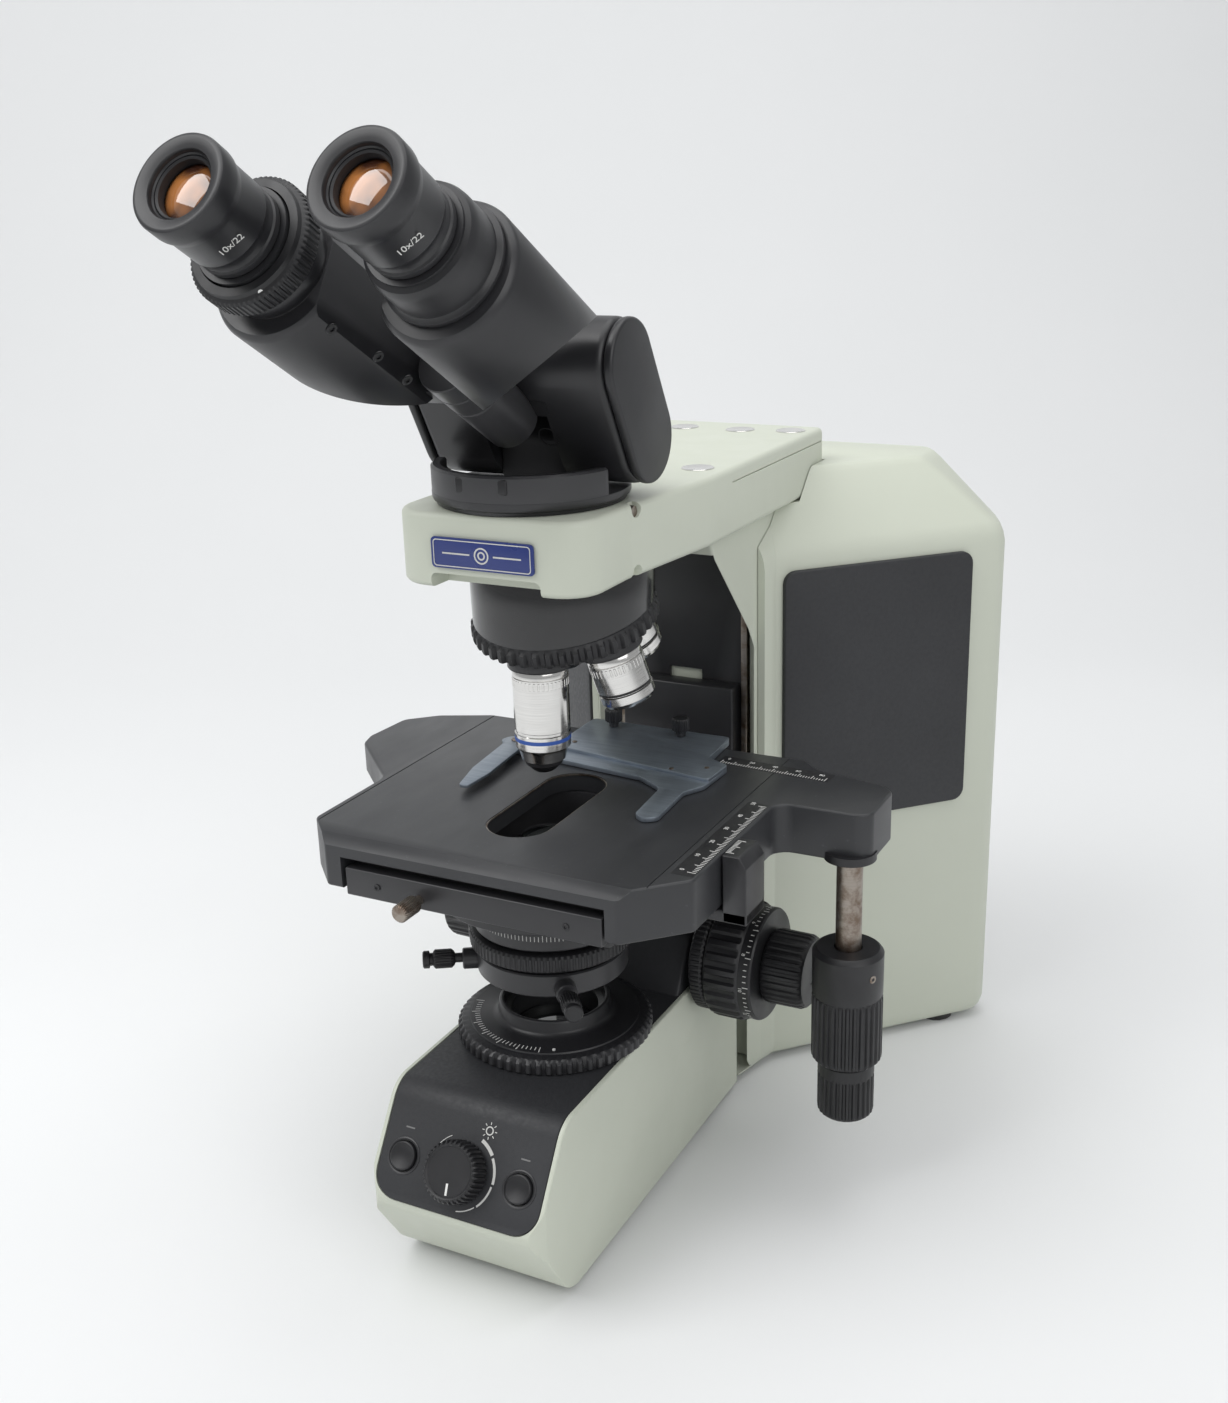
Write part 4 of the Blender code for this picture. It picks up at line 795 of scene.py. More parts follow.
class MICROSCOPE_OT_controls(bpy.types.Operator):
    """Ribbed light knob, two push buttons and the marks round them"""
    bl_idname = "microscope.controls"
    bl_label = "Front controls"

    def execute(self, context):
        profile = [(0, 0.3), (13.2, 0.3), (14.8, 1.4, 0.9), (14.5, 9.6, 1.0), (13.6, 11.2, 0.7), (12.4, 11.9),
                   (11.8, 11.7),
                   (11.2, 11.0), (0, 10.8)]
        piece("dimmer_knob", turned(profile, ribs=36), "light_knob", "knob_black", ["light_knob"],
              matrix=KNOB_PLACE)
        pointer = moved(block((-0.55, -10.6, 10.9), (0.55, -5.2, 11.15), 0.1), spin(6))
        piece("dimmer_pointer", pointer, "light_knob", "white_figures", matrix=KNOB_PLACE)
        for name in ("button_left", "button_right"):
            low, high = span(name)
            place = KNOB_PLACE @ at((low.x + high.x) / 2, 0, 0)
            cap = turned([(0, -1.4), (6.9, -1.4), (6.9, 0.9), (6.6, 1.6), (6.0, 1.9), (5.2, 1.7), (3.5, 1.15),
                          (0, 0.95)],
                         64)
            piece(name + "_cap", cap, name, "knob_black", [name], matrix=place)
            rim = turned([(7.5, -0.4), (8.9, -0.4), (8.7, 0.25), (8.2, 0.45), (7.7, 0.25)], 64)
            piece(name + "_rim", rim, "frame", "satin_black", matrix=place)
            bar = block((-2.4, 13.0, -0.1), (2.4, 13.7, SKIN))
            piece(name + "_mark", bar, "frame", "faint_print", matrix=place)
        arcs = []
        for first, last, width in ((-82, -50, 0.5), (-46, -8, 0.9), (-4, 34, 1.3), (38, 66, 1.7), (120, 160, 0.35)):
            steps = 10
            bm = bmesh.new()
            rows = []
            for k in range(steps + 1):
                angle = math.radians(first + (last - first) * k / steps)
                rows.append([bm.verts.new((r * math.cos(angle), r * math.sin(angle), z))
                             for r, z in ((17.2, 0), (17.2 + width, 0), (17.2 + width, SKIN), (17.2, SKIN))])
            for a, b in zip(rows, rows[1:]):
                for i in range(4):
                    bm.faces.new((a[i], a[(i + 1) % 4], b[(i + 1) % 4], b[i]))
            bm.faces.new(rows[0])
            bm.faces.new(rows[-1])
            bmesh.ops.recalc_face_normals(bm, faces=bm.faces)
            arcs.append(bm)
        piece("dimmer_scale", merged(*arcs), "frame", "pale_print", matrix=KNOB_PLACE)
        lamp = [turned([(1.5, 0), (2.1, 0), (2.1, SKIN), (1.5, SKIN)], 24)]
        lamp += [moved(block((2.8, -0.2, 0), (4.0, 0.2, SKIN)), spin(45 * k)) for k in range(8)]
        piece("lamp_mark", merged(*lamp), "frame", "pale_print",
              matrix=KNOB_PLACE @ at(10, 21.5, 0))
        return {"FINISHED"}


class MICROSCOPE_OT_field(bpy.types.Operator):
    """Wide ribbed field ring with its collar, ticks and glass"""
    bl_idname = "microscope.field"
    bl_label = "Field ring"

    def execute(self, context):
        low, high = span("field_ring")
        place = at(0, 0, low.z)
        rim = high.x
        profile = [(22, 0), (rim - 1.6, 0), (rim - 0.2, 1.0, 1.3), (rim - 0.2, 5.6, 1.3), (rim - 1.8, 7.0, 0.5),
                   (rim - 2.6, 7.6), (rim - 6.4, 8.2), (rim - 6.8, 8.9), (32, 9.4), (30.4, 9.9), (29, 11), (28.4, 12),
                   (28.2, 16.2), (27.6, 17.1), (26.6, 17.4), (25.6, 17.1), (25.2, 16.0), (24.8, 13), (22, 12)]
        piece("field_wheel", turned(profile, ribs=detail().field_ribs), "field_ring", "satin_black",
              ["field_ring"], matrix=place)
        marks = face_ticks(31, -168, -72, rim - 11.5, rim - 7.2, 9.0, 0.35)
        spot = moved(disc(0.8, 9.0, 9.0 + SKIN + 0.3, steps=20), spin(-62) @ at(rim - 9.5))
        piece("field_marks", merged(marks, spot), "field_ring", "white_figures", matrix=place)
        base = span("field_lens")[1].z
        dome = turned([(0, -6), (20.8, -6), (20.8, -3), (19, -1.6), (15, -0.4), (9, 0.4), (0, 0.8)], 72)
        piece("field_glass", dome, "frame", "dark_lens", ["field_lens"], matrix=at(0, 0, base - 1))
        return {"FINISHED"}


class MICROSCOPE_OT_column(bpy.types.Operator):
    """Painted column with the recess the stage runs in and the gusset below the arm"""
    bl_idname = "microscope.column"
    bl_label = "Column"

    def execute(self, context):
        low, high = span("column")
        half = high.x
        front = span("stage_carrier")[1].y - 15.2
        knee = 255.0
        outline = [(front, 4), (high.y, 4), (high.y, high.z), (low.y, high.z), (low.y + 7, high.z - 13),
                   (front - 9, knee + 14), (front, knee)]
        body = plate(rounded(outline, [0, 0, 0, 4, 10, 12, 12], 6), -half, half, "X", 2.2, 4)
        pocket = [(half - 0.8, low.y - 10), (half - 0.8, front - 0.5), (40.5, front + 12), (40.5, front + 18),
                  (-40.5, front + 18), (-40.5, front + 12), (-half + 0.8, front - 0.5), (-half + 0.8, low.y - 10)]
        piece("column_casting", body, "frame", "cream_paint", ["column"],
              cuts=[("DIFFERENCE", plate(pocket, BASE_HIGH.z, high.z - 10))])
        low, high = span("recess_cover")
        sheet = block(tuple(low), (high.x, high.y + 0.2, high.z), 0.4)
        piece("recess_sheet", sheet, "frame", "satin_black", ["recess_cover"],
              cuts=[("DIFFERENCE", block((-10, low.y - 5, 80), (10, high.y + 5, 235)))])
        for side in (-1, 1):
            rail = block((side * 37.5 - 1.8, low.y - 5, 130), (side * 37.5 + 1.8, low.y + 1, high.z - 12), 0.5)
            piece(f"guide_rail_{'right' if side > 0 else 'left'}", rail, "frame", "worn_steel")
        lip = block((-39.5, front + 4, high.z - 8), (39.5, front + 14, high.z - 5.5), 0.4)
        piece("recess_lip", lip, "frame", "cream_paint")
        return {"FINISHED"}


def blend_rings(first, second, share, height):
    return [(a[0] + (b[0] - a[0]) * share, a[1] + (b[1] - a[1]) * share, height) for a, b in zip(first, second)]


def both_sides(half):
    return half + [(-x, y) for x, y in reversed(half)]


class MICROSCOPE_OT_rear(bpy.types.Operator):
    """Wide rear cover with rounded rims, a sloping roof and two slanting dark panels"""
    bl_idname = "microscope.rear"
    bl_label = "Rear cover"

    def execute(self, context):
        low, high = span("rear_cover")
        rim, back = high.x, high.y
        wall = both_sides([(47.4, low.y), (52.5, 147), (56, 159.5), (rim, 262.6), (rim - 8, back)])
        crown = both_sides([(30, 172), (33, 176), (36, 182), (104, 254), (104, back)])
        radii = [0, 8, 3, 11, 14]
        radii = radii + radii[::-1]
        wall, crown = rounded(wall, radii, 7), rounded(crown, [0, 1, 1, 9, 9, 9, 9, 1, 1, 0], 7)
        shoulder = span("side_panel_right")[1].z + 10
        levels = [(0.14, 0.2), (0.075, 1.6), (0.03, 4.6), (0.0, 9.5), (0.0, shoulder - 8), (0.02, shoulder - 3),
                  (0.06, shoulder + 1), (0.12, shoulder + 4.5),
                  (0.86, high.z - 4.2), (0.94, high.z - 1.4), (1.0, high.z - 0.2)]
        body = loft([blend_rings(wall, crown, share, z) for share, z in levels])
        column = span("column")[1].x + 0.4
        arm = ARM_HIGH.x + 0.5
        cuts = [("DIFFERENCE", block((-column - 20, low.y - 10, BASE_HIGH.z), (column + 20, 150, high.z + 5))),
                ("DIFFERENCE", block((-column, 118, 3.2), (column, 222.2, high.z + 6))),
                ("DIFFERENCE", block((-arm, 100, ARM_LOW.z - 0.6), (arm, ARM_HIGH.y + 0.4, high.z + 10))),
                ("DIFFERENCE", block((-88.2, back - 3.6, 13.8), (88.2, back + 5, 300.2)))]
        for name in ("power_inlet", "power_switch"):
            near, far = span(name)
            cuts.append(("DIFFERENCE", block((near.x - 2, near.y - 3, near.z - 2), (far.x + 2, back + 5, far.z + 2))))
        piece("rear_shell", body, "frame", "cream_paint", ["rear_cover"], cuts=cuts)

        start, end = Vector((56, 159.5)), Vector((142.5, 250.5))
        along_wall = (end - start).normalized()
        low, high = span("side_panel_right")
        length = (Vector((high.x, high.y)) - Vector((low.x, low.y))).length - 2.0
        for side, name in ((1, "side_panel_right"), (-1, "side_panel_left")):
            axes = Matrix(((along_wall.x, 0, along_wall.y), (along_wall.y, 0, -along_wall.x), (0, 1, 0))).to_4x4()
            origin = start + along_wall * 4.0
            place = at(origin.x, origin.y, low.z) @ axes
            tall = high.z - low.z
            sheet = plate(rounded([(0, 0), (length, 0), (length, tall), (0, tall)], 7.0, 6), -1.0, 2.9, "Z", 0.9, 3,
                          False)
            tab = plate(rounded([(46, -26), (60, -26), (58, 3), (46, 3)], [6, 6, 0, 0], 5), -1.0, 3.2, "Z", 1.4, 3,
                        False)
            turn = Matrix.Scale(-1, 4, (1, 0, 0)) if side < 0 else Matrix.Identity(4)
            piece(name + "_sheet", moved(sheet, turn @ place), "frame", "grained_panel", [name])
            piece(name + "_tab", moved(tab, turn @ place), "frame", "cream_paint")
        low, high = span("rear_panel")
        louvres = [block((-34, high.y - 0.6, 210 + 7 * k), (34, high.y + 0.9, 212.5 + 7 * k), 0.6) for k in range(9)]
        piece("rear_louvres", merged(*louvres), "frame", "knob_black")
        low, high = span("power_inlet")
        middle = (low + high) / 2
        pins = [block((middle.x + dx - 1, high.y - 15, middle.z + dz - 2),
                      (middle.x + dx + 1, high.y - 5, middle.z + dz + 2),
                      0.4) for dx, dz in ((-6, -1.5), (6, -1.5), (0, 2.5))]
        piece("inlet_pins", merged(*pins), "frame", "worn_steel")
        for k, (x, z) in enumerate(((80, 22), (-80, 22), (80, 292), (-80, 292))):
            place = at(x, span("rear_panel")[1].y, z) @ spin(-90, "X")
            add_screw(f"rear_screw_{k + 1}", "frame", place, 3.0, 1.2)
        return {"FINISHED"}


class MICROSCOPE_OT_arm(bpy.types.Operator):
    """Painted arm with its notches, plugs and seam, and the blank blue badge on its nose"""
    bl_idname = "microscope.arm"
    bl_label = "Arm and badge"

    def execute(self, context):
        nose = 50.0
        outline = both_sides([(nose, ARM_LOW.y), (nose, 0.0), (ARM_HIGH.x, 70.0), (ARM_HIGH.x, ARM_HIGH.y)])
        outline = rounded(outline, [18, 40, 40, 5, 5, 40, 40, 18], 9)
        body = plate(outline, ARM_LOW.z, ARM_HIGH.z, "Z", detail().cast_edge, 4)
        relief = rounded([(-28, ARM_LOW.z - 5), (28, ARM_LOW.z - 5), (28, ARM_LOW.z + 7), (-28, ARM_LOW.z + 7)],
                         [0, 0, 3, 3])
        clamp = span("head_clamp_screw")
        middle = (clamp[0] + clamp[1]) / 2
        cuts = [("DIFFERENCE", plate(relief, ARM_LOW.y - 5, ARM_LOW.y + 14, "Y"))]
        for side in (-1, 1):
            for z in (middle.z + 1.4, ARM_LOW.z + 2.0):
                bore = moved(disc(3.8, -3.2, 8), at(side * nose, middle.y, z) @ spin(90 * side, "Y"))
                cuts.append(("DIFFERENCE", bore))
            seam = block((side * ARM_HIGH.x - 0.8, 96, ARM_HIGH.z - 7.4), (side * ARM_HIGH.x + 0.8, ARM_HIGH.y + 2,
                         ARM_HIGH.z - 6.8))
            cuts.append(("DIFFERENCE", seam))
        piece("arm_casting", body, "frame", "cream_paint", ["arm"], cuts=cuts)
        plugs = []
        for x, y in ((42, 90), (-42, 90), (45, 208), (-45, 208), (-17, 203), (17, 203)):
            plug = turned([(0, -1), (8.2, -1), (8.2, 0.25), (7.7, 0.5), (6.9, 0.35), (0, 0.3)], 48)
            plugs.append(moved(plug, at(x, y, ARM_HIGH.z)))
        piece("arm_plugs", merged(*plugs), "frame", "chrome")
        low, high = span("badge")
        corners = [(low.x, low.z), (high.x, low.z), (high.x, high.z), (low.x, high.z)]
        sheet = plate(rounded(corners, 2.0, 5), low.y, high.y, "Y", 0.4, 2)
        piece("badge_sheet", sheet, "frame", "blue_enamel", ["badge"])
        inner = [(x * 0.95, z + (0.9 if z == low.z else -0.9)) for x, z in corners]
        frame_line = plate(rounded(inner, 1.6, 5), low.y - SKIN, low.y + 0.3, "Y")
        hole = [(x * 0.985, z + (0.45 if z < middle.z - 18 else -0.45)) for x, z in inner]
        piece("badge_border", frame_line, "frame", "pale_print",
              cuts=[("DIFFERENCE", plate(rounded(hole, 1.3, 5), low.y - 3, low.y + 3, "Y"))])
        height = (low.z + high.z) / 2
        icon = [moved(turned([(r, 0), (r + 0.7, 0), (r + 0.7, 0.3), (r, 0.3)], 48), at(0, low.y - SKIN, height)
                      @ spin(-90, "X")) for r in (1.2, 3.0)]
        icon += [block((start, low.y - SKIN, height - 0.35), (start + 14, low.y + 0.2, height + 0.35))
                 for start in (-20, 6)]
        piece("badge_icon", merged(*icon), "frame", "pale_print")
        return {"FINISHED"}


class MICROSCOPE_OT_nosepiece(bpy.types.Operator):
    """Glossy nosepiece mount and the tilted turret with coarse ribs and five bosses"""
    bl_idname = "microscope.nosepiece"
    bl_label = "Nosepiece"

    def execute(self, context):
        low, high = span("nosepiece_mount")
        centre = (low + high) / 2
        radius = high.x
        profile = [(0, low.z - 20), (radius - 1.5, low.z - 20), (radius - 0.4, high.z - 16),
                   (radius - 0.2, high.z - 4),
                   (radius - 1.2, high.z - 1.5), (radius - 1.6, high.z - 0.2), (0, high.z - 0.2)]
        mount = moved(turned(profile), at(centre.x, centre.y))
        under = TURRET_PLACE @ at(0, 0, 10.6)
        slice_off(mount, under.translation, under.to_3x3() @ Vector((0, 0, -1)))
        piece("nosepiece_cone", mount, "frame", "gloss_black", ["nosepiece_mount"])
        profile = [(0, -3), (20, -3), (36.5, -0.2), (42.4, 0.4), (45.4, 1.4, 1.7), (45.8, 3.0, 1.9), (45.4, 7.4, 1.7),
                   (43.8, 8.6, 0.4), (43.2, 9.9), (0, 9.9)]
        ring = turned(profile, ribs=detail().turret_ribs)
        bosses = []
        for place in range(-2, 3):
            boss = turned([(10.6, -9), (14.9, -9), (15.4, -8), (15.4, -0.7), (14.9, 0), (11, 0), (10.6, -0.4)], 64)
            bosses.append(moved(boss, objective_place(place)))
        piece("turret_wheel", ring, "turret", "knob_black", ["turret"], matrix=TURRET_PLACE)
        piece("turret_bosses", merged(*bosses), "turret", "satin_black")
        return {"FINISHED"}


SEAT = 283.77                        # height of a boss face in the working position


def objective_place(place, lift=0.0):
    """Frame on one of the turret's bosses, with +Z pointing out of it."""
    turned_to = TURRET_PLACE @ spin(72 * place) @ TURRET_PLACE.inverted()
    return turned_to @ at(0, 0, SEAT - lift) @ spin(180, "X")


class MICROSCOPE_OT_objectives(bpy.types.Operator):
    """Four chrome objectives with knurled grips, colour bands and generic numbers"""
    bl_idname = "microscope.objectives"
    bl_label = "Objectives"

    def execute(self, context):
        kinds = {"long": (0, 52, 4.5, "blue_band", "40"), "medium": (-2, 38, 6.5, "amber_lens", "20"),
                 "short": (1, 26, 11.5, "worn_steel", "4"), "scan": (2, 22, 12.0, "worn_steel", "2")}
        for kind, (place, length, tip, band, figure) in kinds.items():
            frame_at = objective_place(place, 0.3)
            name = "objective_" + kind
            if length > 30:
                profile = [(0, -4), (10, -4), (10, 0), (13.1, 0), (13.4, 0.5), (13.4, 3.4), (13.0, 3.7), (13.4, 4.0),
                           (13.4, length - 22), (12.9, length - 21.6), (12.9, length - 20.4), (13.4, length - 20),
                           (13.3, length - 13.2), (12.2, length - 12.4), (11.6, length - 11), (10.6, length - 6.4),
                           (9.4, length - 5.6), (0, length - 5.6)]
                piece(name + "_barrel", turned(profile), "turret", "chrome", [name], matrix=frame_at)
                nose = turned([(0, length - 6), (9.3, length - 6), (9.0, length - 4), (tip + 1.2, length - 0.8),
                               (tip, length), (tip - 1.6, length), (tip - 2.0, length - 0.5), (0, length - 0.6)])
                piece(name + "_tip", nose, "turret", "knob_black", matrix=frame_at)
                line = turned([(12, length - 18.4), (13.5, length - 18.4), (13.5, length - 16.6),
                               (12, length - 16.6)])
                piece(name + "_band", line, "turret", band, matrix=frame_at)
            else:
                profile = [(0, -4), (10, -4), (10, 0), (13.1, 0), (13.4, 0.5), (13.4, 3.4), (13.0, 3.7), (13.4, 4.0),
                           (13.4, length - 8.5), (12.4, length - 8.2), (12.4, length - 6.6), (13.4, length - 6.3),
                           (13.4, length - 2.4), (12.9, length - 2.1), (tip, length), (tip - 2.4, length),
                           (tip - 3.0, length - 1.2), (0, length - 1.2)]
                piece(name + "_barrel", turned(profile), "turret", "chrome", [name], matrix=frame_at)
                line = turned([(12, length - 7.9), (12.7, length - 7.9), (12.7, length - 6.9), (12, length - 6.9)])
                piece(name + "_band", line, "turret", "knob_black", matrix=frame_at)
                glass = disc(tip - 3.4, length - 1.4, length - 0.9, 0.2)
                piece(name + "_glass", glass, "turret", "dark_lens", matrix=frame_at)
            knurl = turned([(12, 4.4), (13.1, 4.4), (13.6, 4.8, 0.35), (13.6, 8.2, 0.35), (13.1, 8.6), (12, 8.6)],
                           ribs=40)
            piece(name + "_grip", knurl, "turret", "chrome", matrix=frame_at)
            turn = -118 if place == 0 else -60
            words = moved(text_shape(figure, 4.2 if length > 30 else 3.2), spin(turn) @ at(13.36, 0, 13.6)
                          @ spin(90, "Y") @ spin(180, "Z") @ spin(90, "Z"))
            piece(name + "_figure", words, "turret", "knob_black", matrix=frame_at)
        return {"FINISHED"}


class MICROSCOPE_OT_head(bpy.types.Operator):
    """Round flange on the arm and the rounded tilting block with its two side caps"""
    bl_idname = "microscope.head"
    bl_label = "Head"

    def execute(self, context):
        low, high = span("head_flange")
        seat = ARM_HIGH.z + 0.3
        outer = high.x
        profile = [(20, low.z), (29.6, low.z), (29.6, seat), (outer - 2.2, seat), (outer - 1.8, seat + 1.4),
                   (outer - 0.6, seat + 2.2), (outer - 0.2, seat + 3.2), (outer - 0.2, seat + 5.6),
                   (outer - 1.4, seat + 6.2), (20, seat + 6.2)]
        dish = turned(profile)
        rim = turned([(outer - 5.4, seat + 4), (outer - 0.3, seat + 4), (outer - 0.3, seat + 16.6),
                      (outer - 1.4, seat + 17.6), (outer - 4.6, seat + 17.6), (outer - 5.4, seat + 16.8)])
        slice_off(rim, Vector((0, -9, 0)), Vector((0, 1, 0)), 0.6)
        tongue = plate(rounded([(3.2, seat + 5), (26.8, seat + 5), (26.8, high.z - 12), (15, high.z + 10),
                                (3.2, high.z - 12)], [0, 0, 10, 12, 10], 7), -16.9, 16.9, "X", 0.8)
        piece("flange", merged(dish, rim, tongue), "head", "satin_black", ["head_flange"])
        lug = block((-13, -outer + 1.2, seat + 9.5), (13, -outer + 5, seat + 16.4), 1.0)
        piece("flange_lug", lug, "head", "knob_black")

        lower, upper = (TILT_AT.y, TILT_AT.z), (-4.0, 426.0)
        half = span("tilt_block")[1].x
        body = plate(stadium(lower, upper, 19.9, 22), -half, half, "X", 3.4, 5)
        block_cuts = [("DIFFERENCE", moved(disc(21.4, -1, 60), TUBE_PLACE @ at(0, 0, -152.2))),
                      ("DIFFERENCE", block((-17.5, TILT_AT.y - 32, TILT_AT.z - 30),
                                           (17.5, TILT_AT.y + 32, TILT_AT.z + 12.5)))]
        boss = moved(disc(12.8, -188, -152.8, 0.6), TUBE_PLACE)
        piece("tilt_body", body, "tilt", "satin_black", ["tilt_block"], cuts=block_cuts)
        piece("tilt_boss", boss, "tilt", "satin_black")
        low, high = span("side_caps")
        caps = []
        for side in (-1, 1):
            cap = plate(stadium(lower, upper, 19.8, 22), 0.35, high.x - half, "X", 1.6, 4)
            cap = moved(cap, at(half)) if side > 0 else moved(cap, at(-high.x - 0.35))
            caps.append(cap)
        piece("side_covers", merged(*caps), "tilt", "satin_black", ["side_caps"])
        face = Vector((0, upper[0] - lower[0], upper[1] - lower[1])).normalized()
        out = Vector((0, -face.z, face.y))
        middle = Vector((0, (lower[0] + upper[0]) / 2, (lower[1] + upper[1]) / 2))
        axes = Matrix(((1, 0, 0), (0, face.y, out.y), (0, face.z, out.z))).to_4x4()
        front = Matrix.Translation(middle + out * 19.9) @ axes
        window = plate(rounded([(-19, 6), (19, 6), (19, 13), (-19, 13)], 0.8), -0.6, 0.25)
        piece("tilt_window", window, "tilt", "knob_black", matrix=front)
        rings = [moved(turned([(4.4, -0.2), (5.0, -0.2), (5.0, SKIN), (4.4, SKIN)], 40), at(x, -6)) for x in (-14,
                                                                                                              -4, 15)]
        piece("tilt_rings", merged(*rings), "tilt", "knob_black", matrix=front)
        return {"FINISHED"}


class MICROSCOPE_OT_tubes(bpy.types.Operator):
    """Two prism housings with mitred lower ends, stepped barrels and the dioptre ring"""
    bl_idname = "microscope.tubes"
    bl_label = "Eyepiece tubes"

    def execute(self, context):
        start, end = -60.0, -152.0
        lean = math.radians(38.0)
        for side, name in ((1, "right"), (-1, "left")):
            body = turned([(0, end), (28.2, end), (29.4, end + 1.2), (29.4, start - 3.0), (28.6, start - 1.2),
                           (27.2, start), (0, start)])
            housing = moved(body, at(side * TUBE_HALF, TUBE_RISE - 2.0))
            plane_point = Vector((side * TUBE_HALF, TUBE_RISE, -140.0))
            slice_off(housing, plane_point, Vector((side * 0.557, -0.557, -0.6065)), 1.6)
            slice_off(housing, Vector((side * 14.6, 0, 0)), Vector((-side, 0, 0)), 1.0)
            inward = Vector((-side * math.cos(lean), math.sin(lean), 0))
            slice_off(housing, inward * -0.6, inward, 1.0)
            hub_low, hub_high = (-140.2, -128.2) if side > 0 else (-152.4, -140.5)
            hub = disc(12.8, hub_low, hub_high, 0.5)
            web = block((2 if side > 0 else -22, -8, hub_low + 0.2), (22 if side > 0 else -2, 8, hub_high - 0.2), 0.8)
            swing = "swing_" + name
            piece(f"prism_{name}", housing, swing, "satin_black", [f"prism_housing_{name}"],
                  matrix=TUBE_PLACE)
            piece(f"hub_{name}", merged(hub, web), swing, "satin_black", matrix=TUBE_PLACE)
            if side > 0:
                profile = [(0, start - 1), (24.9, start - 1), (24.9, start - 0.6), (24.4, start - 0.2),
                           (24.4, start + 0.6),
                           (24.9, start + 1.2), (24.9, -57.4), (23.6, -56.6), (23.0, -55.8), (22.9, -44),
                           (22.6, -41.4),
                           (21.8, -39.4), (19.9, -38.6), (19.9, -37.2), (15.2, -37.0), (0, -37.0)]
            else:
                profile = [(0, start - 1), (22.9, start - 1), (22.9, start - 0.6), (22.5, start + 0.2),
                           (22.9, start + 1.4),
                           (22.9, -52.4), (22.2, -51.2), (19.9, -51.0), (19.9, -37.2), (15.2, -37.0), (0, -37.0)]
            piece(f"barrel_{name}", turned(profile), swing, "satin_black",
                  matrix=TUBE_PLACE @ at(side * TUBE_HALF, TUBE_RISE))
            for k, s in enumerate((-72, -96, -118)):
                if side > 0 and k > 0:
                    continue
                spot = TUBE_PLACE @ at(side * TUBE_HALF - side * 6 * (k > 0), TUBE_RISE - 2,
                                       s) @ spin(-90 + 52 * -side)
                add_screw(f"prism_screw_{name}_{k + 1}", swing, spot @ at(29.2) @ spin(90, "Y"), 2.4, 0.9)
        ring = turned([(20.6, -50.6), (25.4, -50.6), (26.7, -49.2, 0.5), (26.7, -42.2, 0.5), (25.6, -41.2),
                       (24.4, -40.6), (23.8, -38.8), (20.6, -38.6)], ribs=72)
        place = TUBE_PLACE @ at(-TUBE_HALF, TUBE_RISE)
        piece("dioptre_knurl", ring, "dioptre_ring", "knob_black", ["dioptre_ring"], matrix=place)
        dot = moved(disc(1.1, -0.3, SKIN, steps=20), spin(-58) @ at(24.7, 0, -41.0) @ spin(56, "Y"))
        piece("dioptre_dot", dot, "dioptre_ring", "white_figures", matrix=place)
        return {"FINISHED"}


class MICROSCOPE_OT_eyepieces(bpy.types.Operator):
    """Two eyepieces with wide eyecups, an inner step and amber glass"""
    bl_idname = "microscope.eyepieces"
    bl_label = "Eyepieces"

    def execute(self, context):
        for side, name in ((1, "right"), (-1, "left")):
            place = TUBE_PLACE @ at(side * TUBE_HALF, TUBE_RISE)
            swing = "swing_" + name
            profile = [(12.9, -69), (14.9, -69), (14.9, -36.7), (17.6, -36.7), (18.0, -36.0), (18.0, -33.6),
                       (17.3, -33.0),
                       (17.0, -31.2), (17.5, -28.4), (18.2, -27.4), (18.3, -13.0), (18.7, -11.6), (19.5, -9.2),
                       (19.7, -8.0), (19.7, -1.6), (19.3, -0.6), (18.4, -0.1), (17.6, -0.1), (15.0, -0.9),
                       (13.9, -1.3),
                       (13.5, -1.9), (13.4, -3.4), (12.9, -4.0)]
            piece(f"eyecup_{name}", turned(profile), swing, "satin_black", [f"eyepiece_{name}"],
                  matrix=place)
            bezel = turned([(11.2, -7.6), (12.8, -7.6), (12.8, -4.2), (12.2, -3.8), (11.4, -4.4), (11.2, -6.0)])
            piece(f"bezel_{name}", bezel, swing, "knob_black", matrix=place)
            lens = turned([(0, -15), (12.4, -15), (12.4, -9.2), (11, -7.9), (8, -6.5), (4, -5.6), (0, -5.3)])
            piece(f"eye_glass_{name}", lens, swing, "amber_lens", [f"eyepiece_lens_{name}"],
                  matrix=place)
            words = moved(text_shape("10x/22", 4.0), spin(-46) @ at(18.28, 0, -20.5) @ spin(90, "Y") @ spin(90, "Z"))
            piece(f"eyepiece_figures_{name}", words, swing, "pale_print", matrix=place)
        return {"FINISHED"}


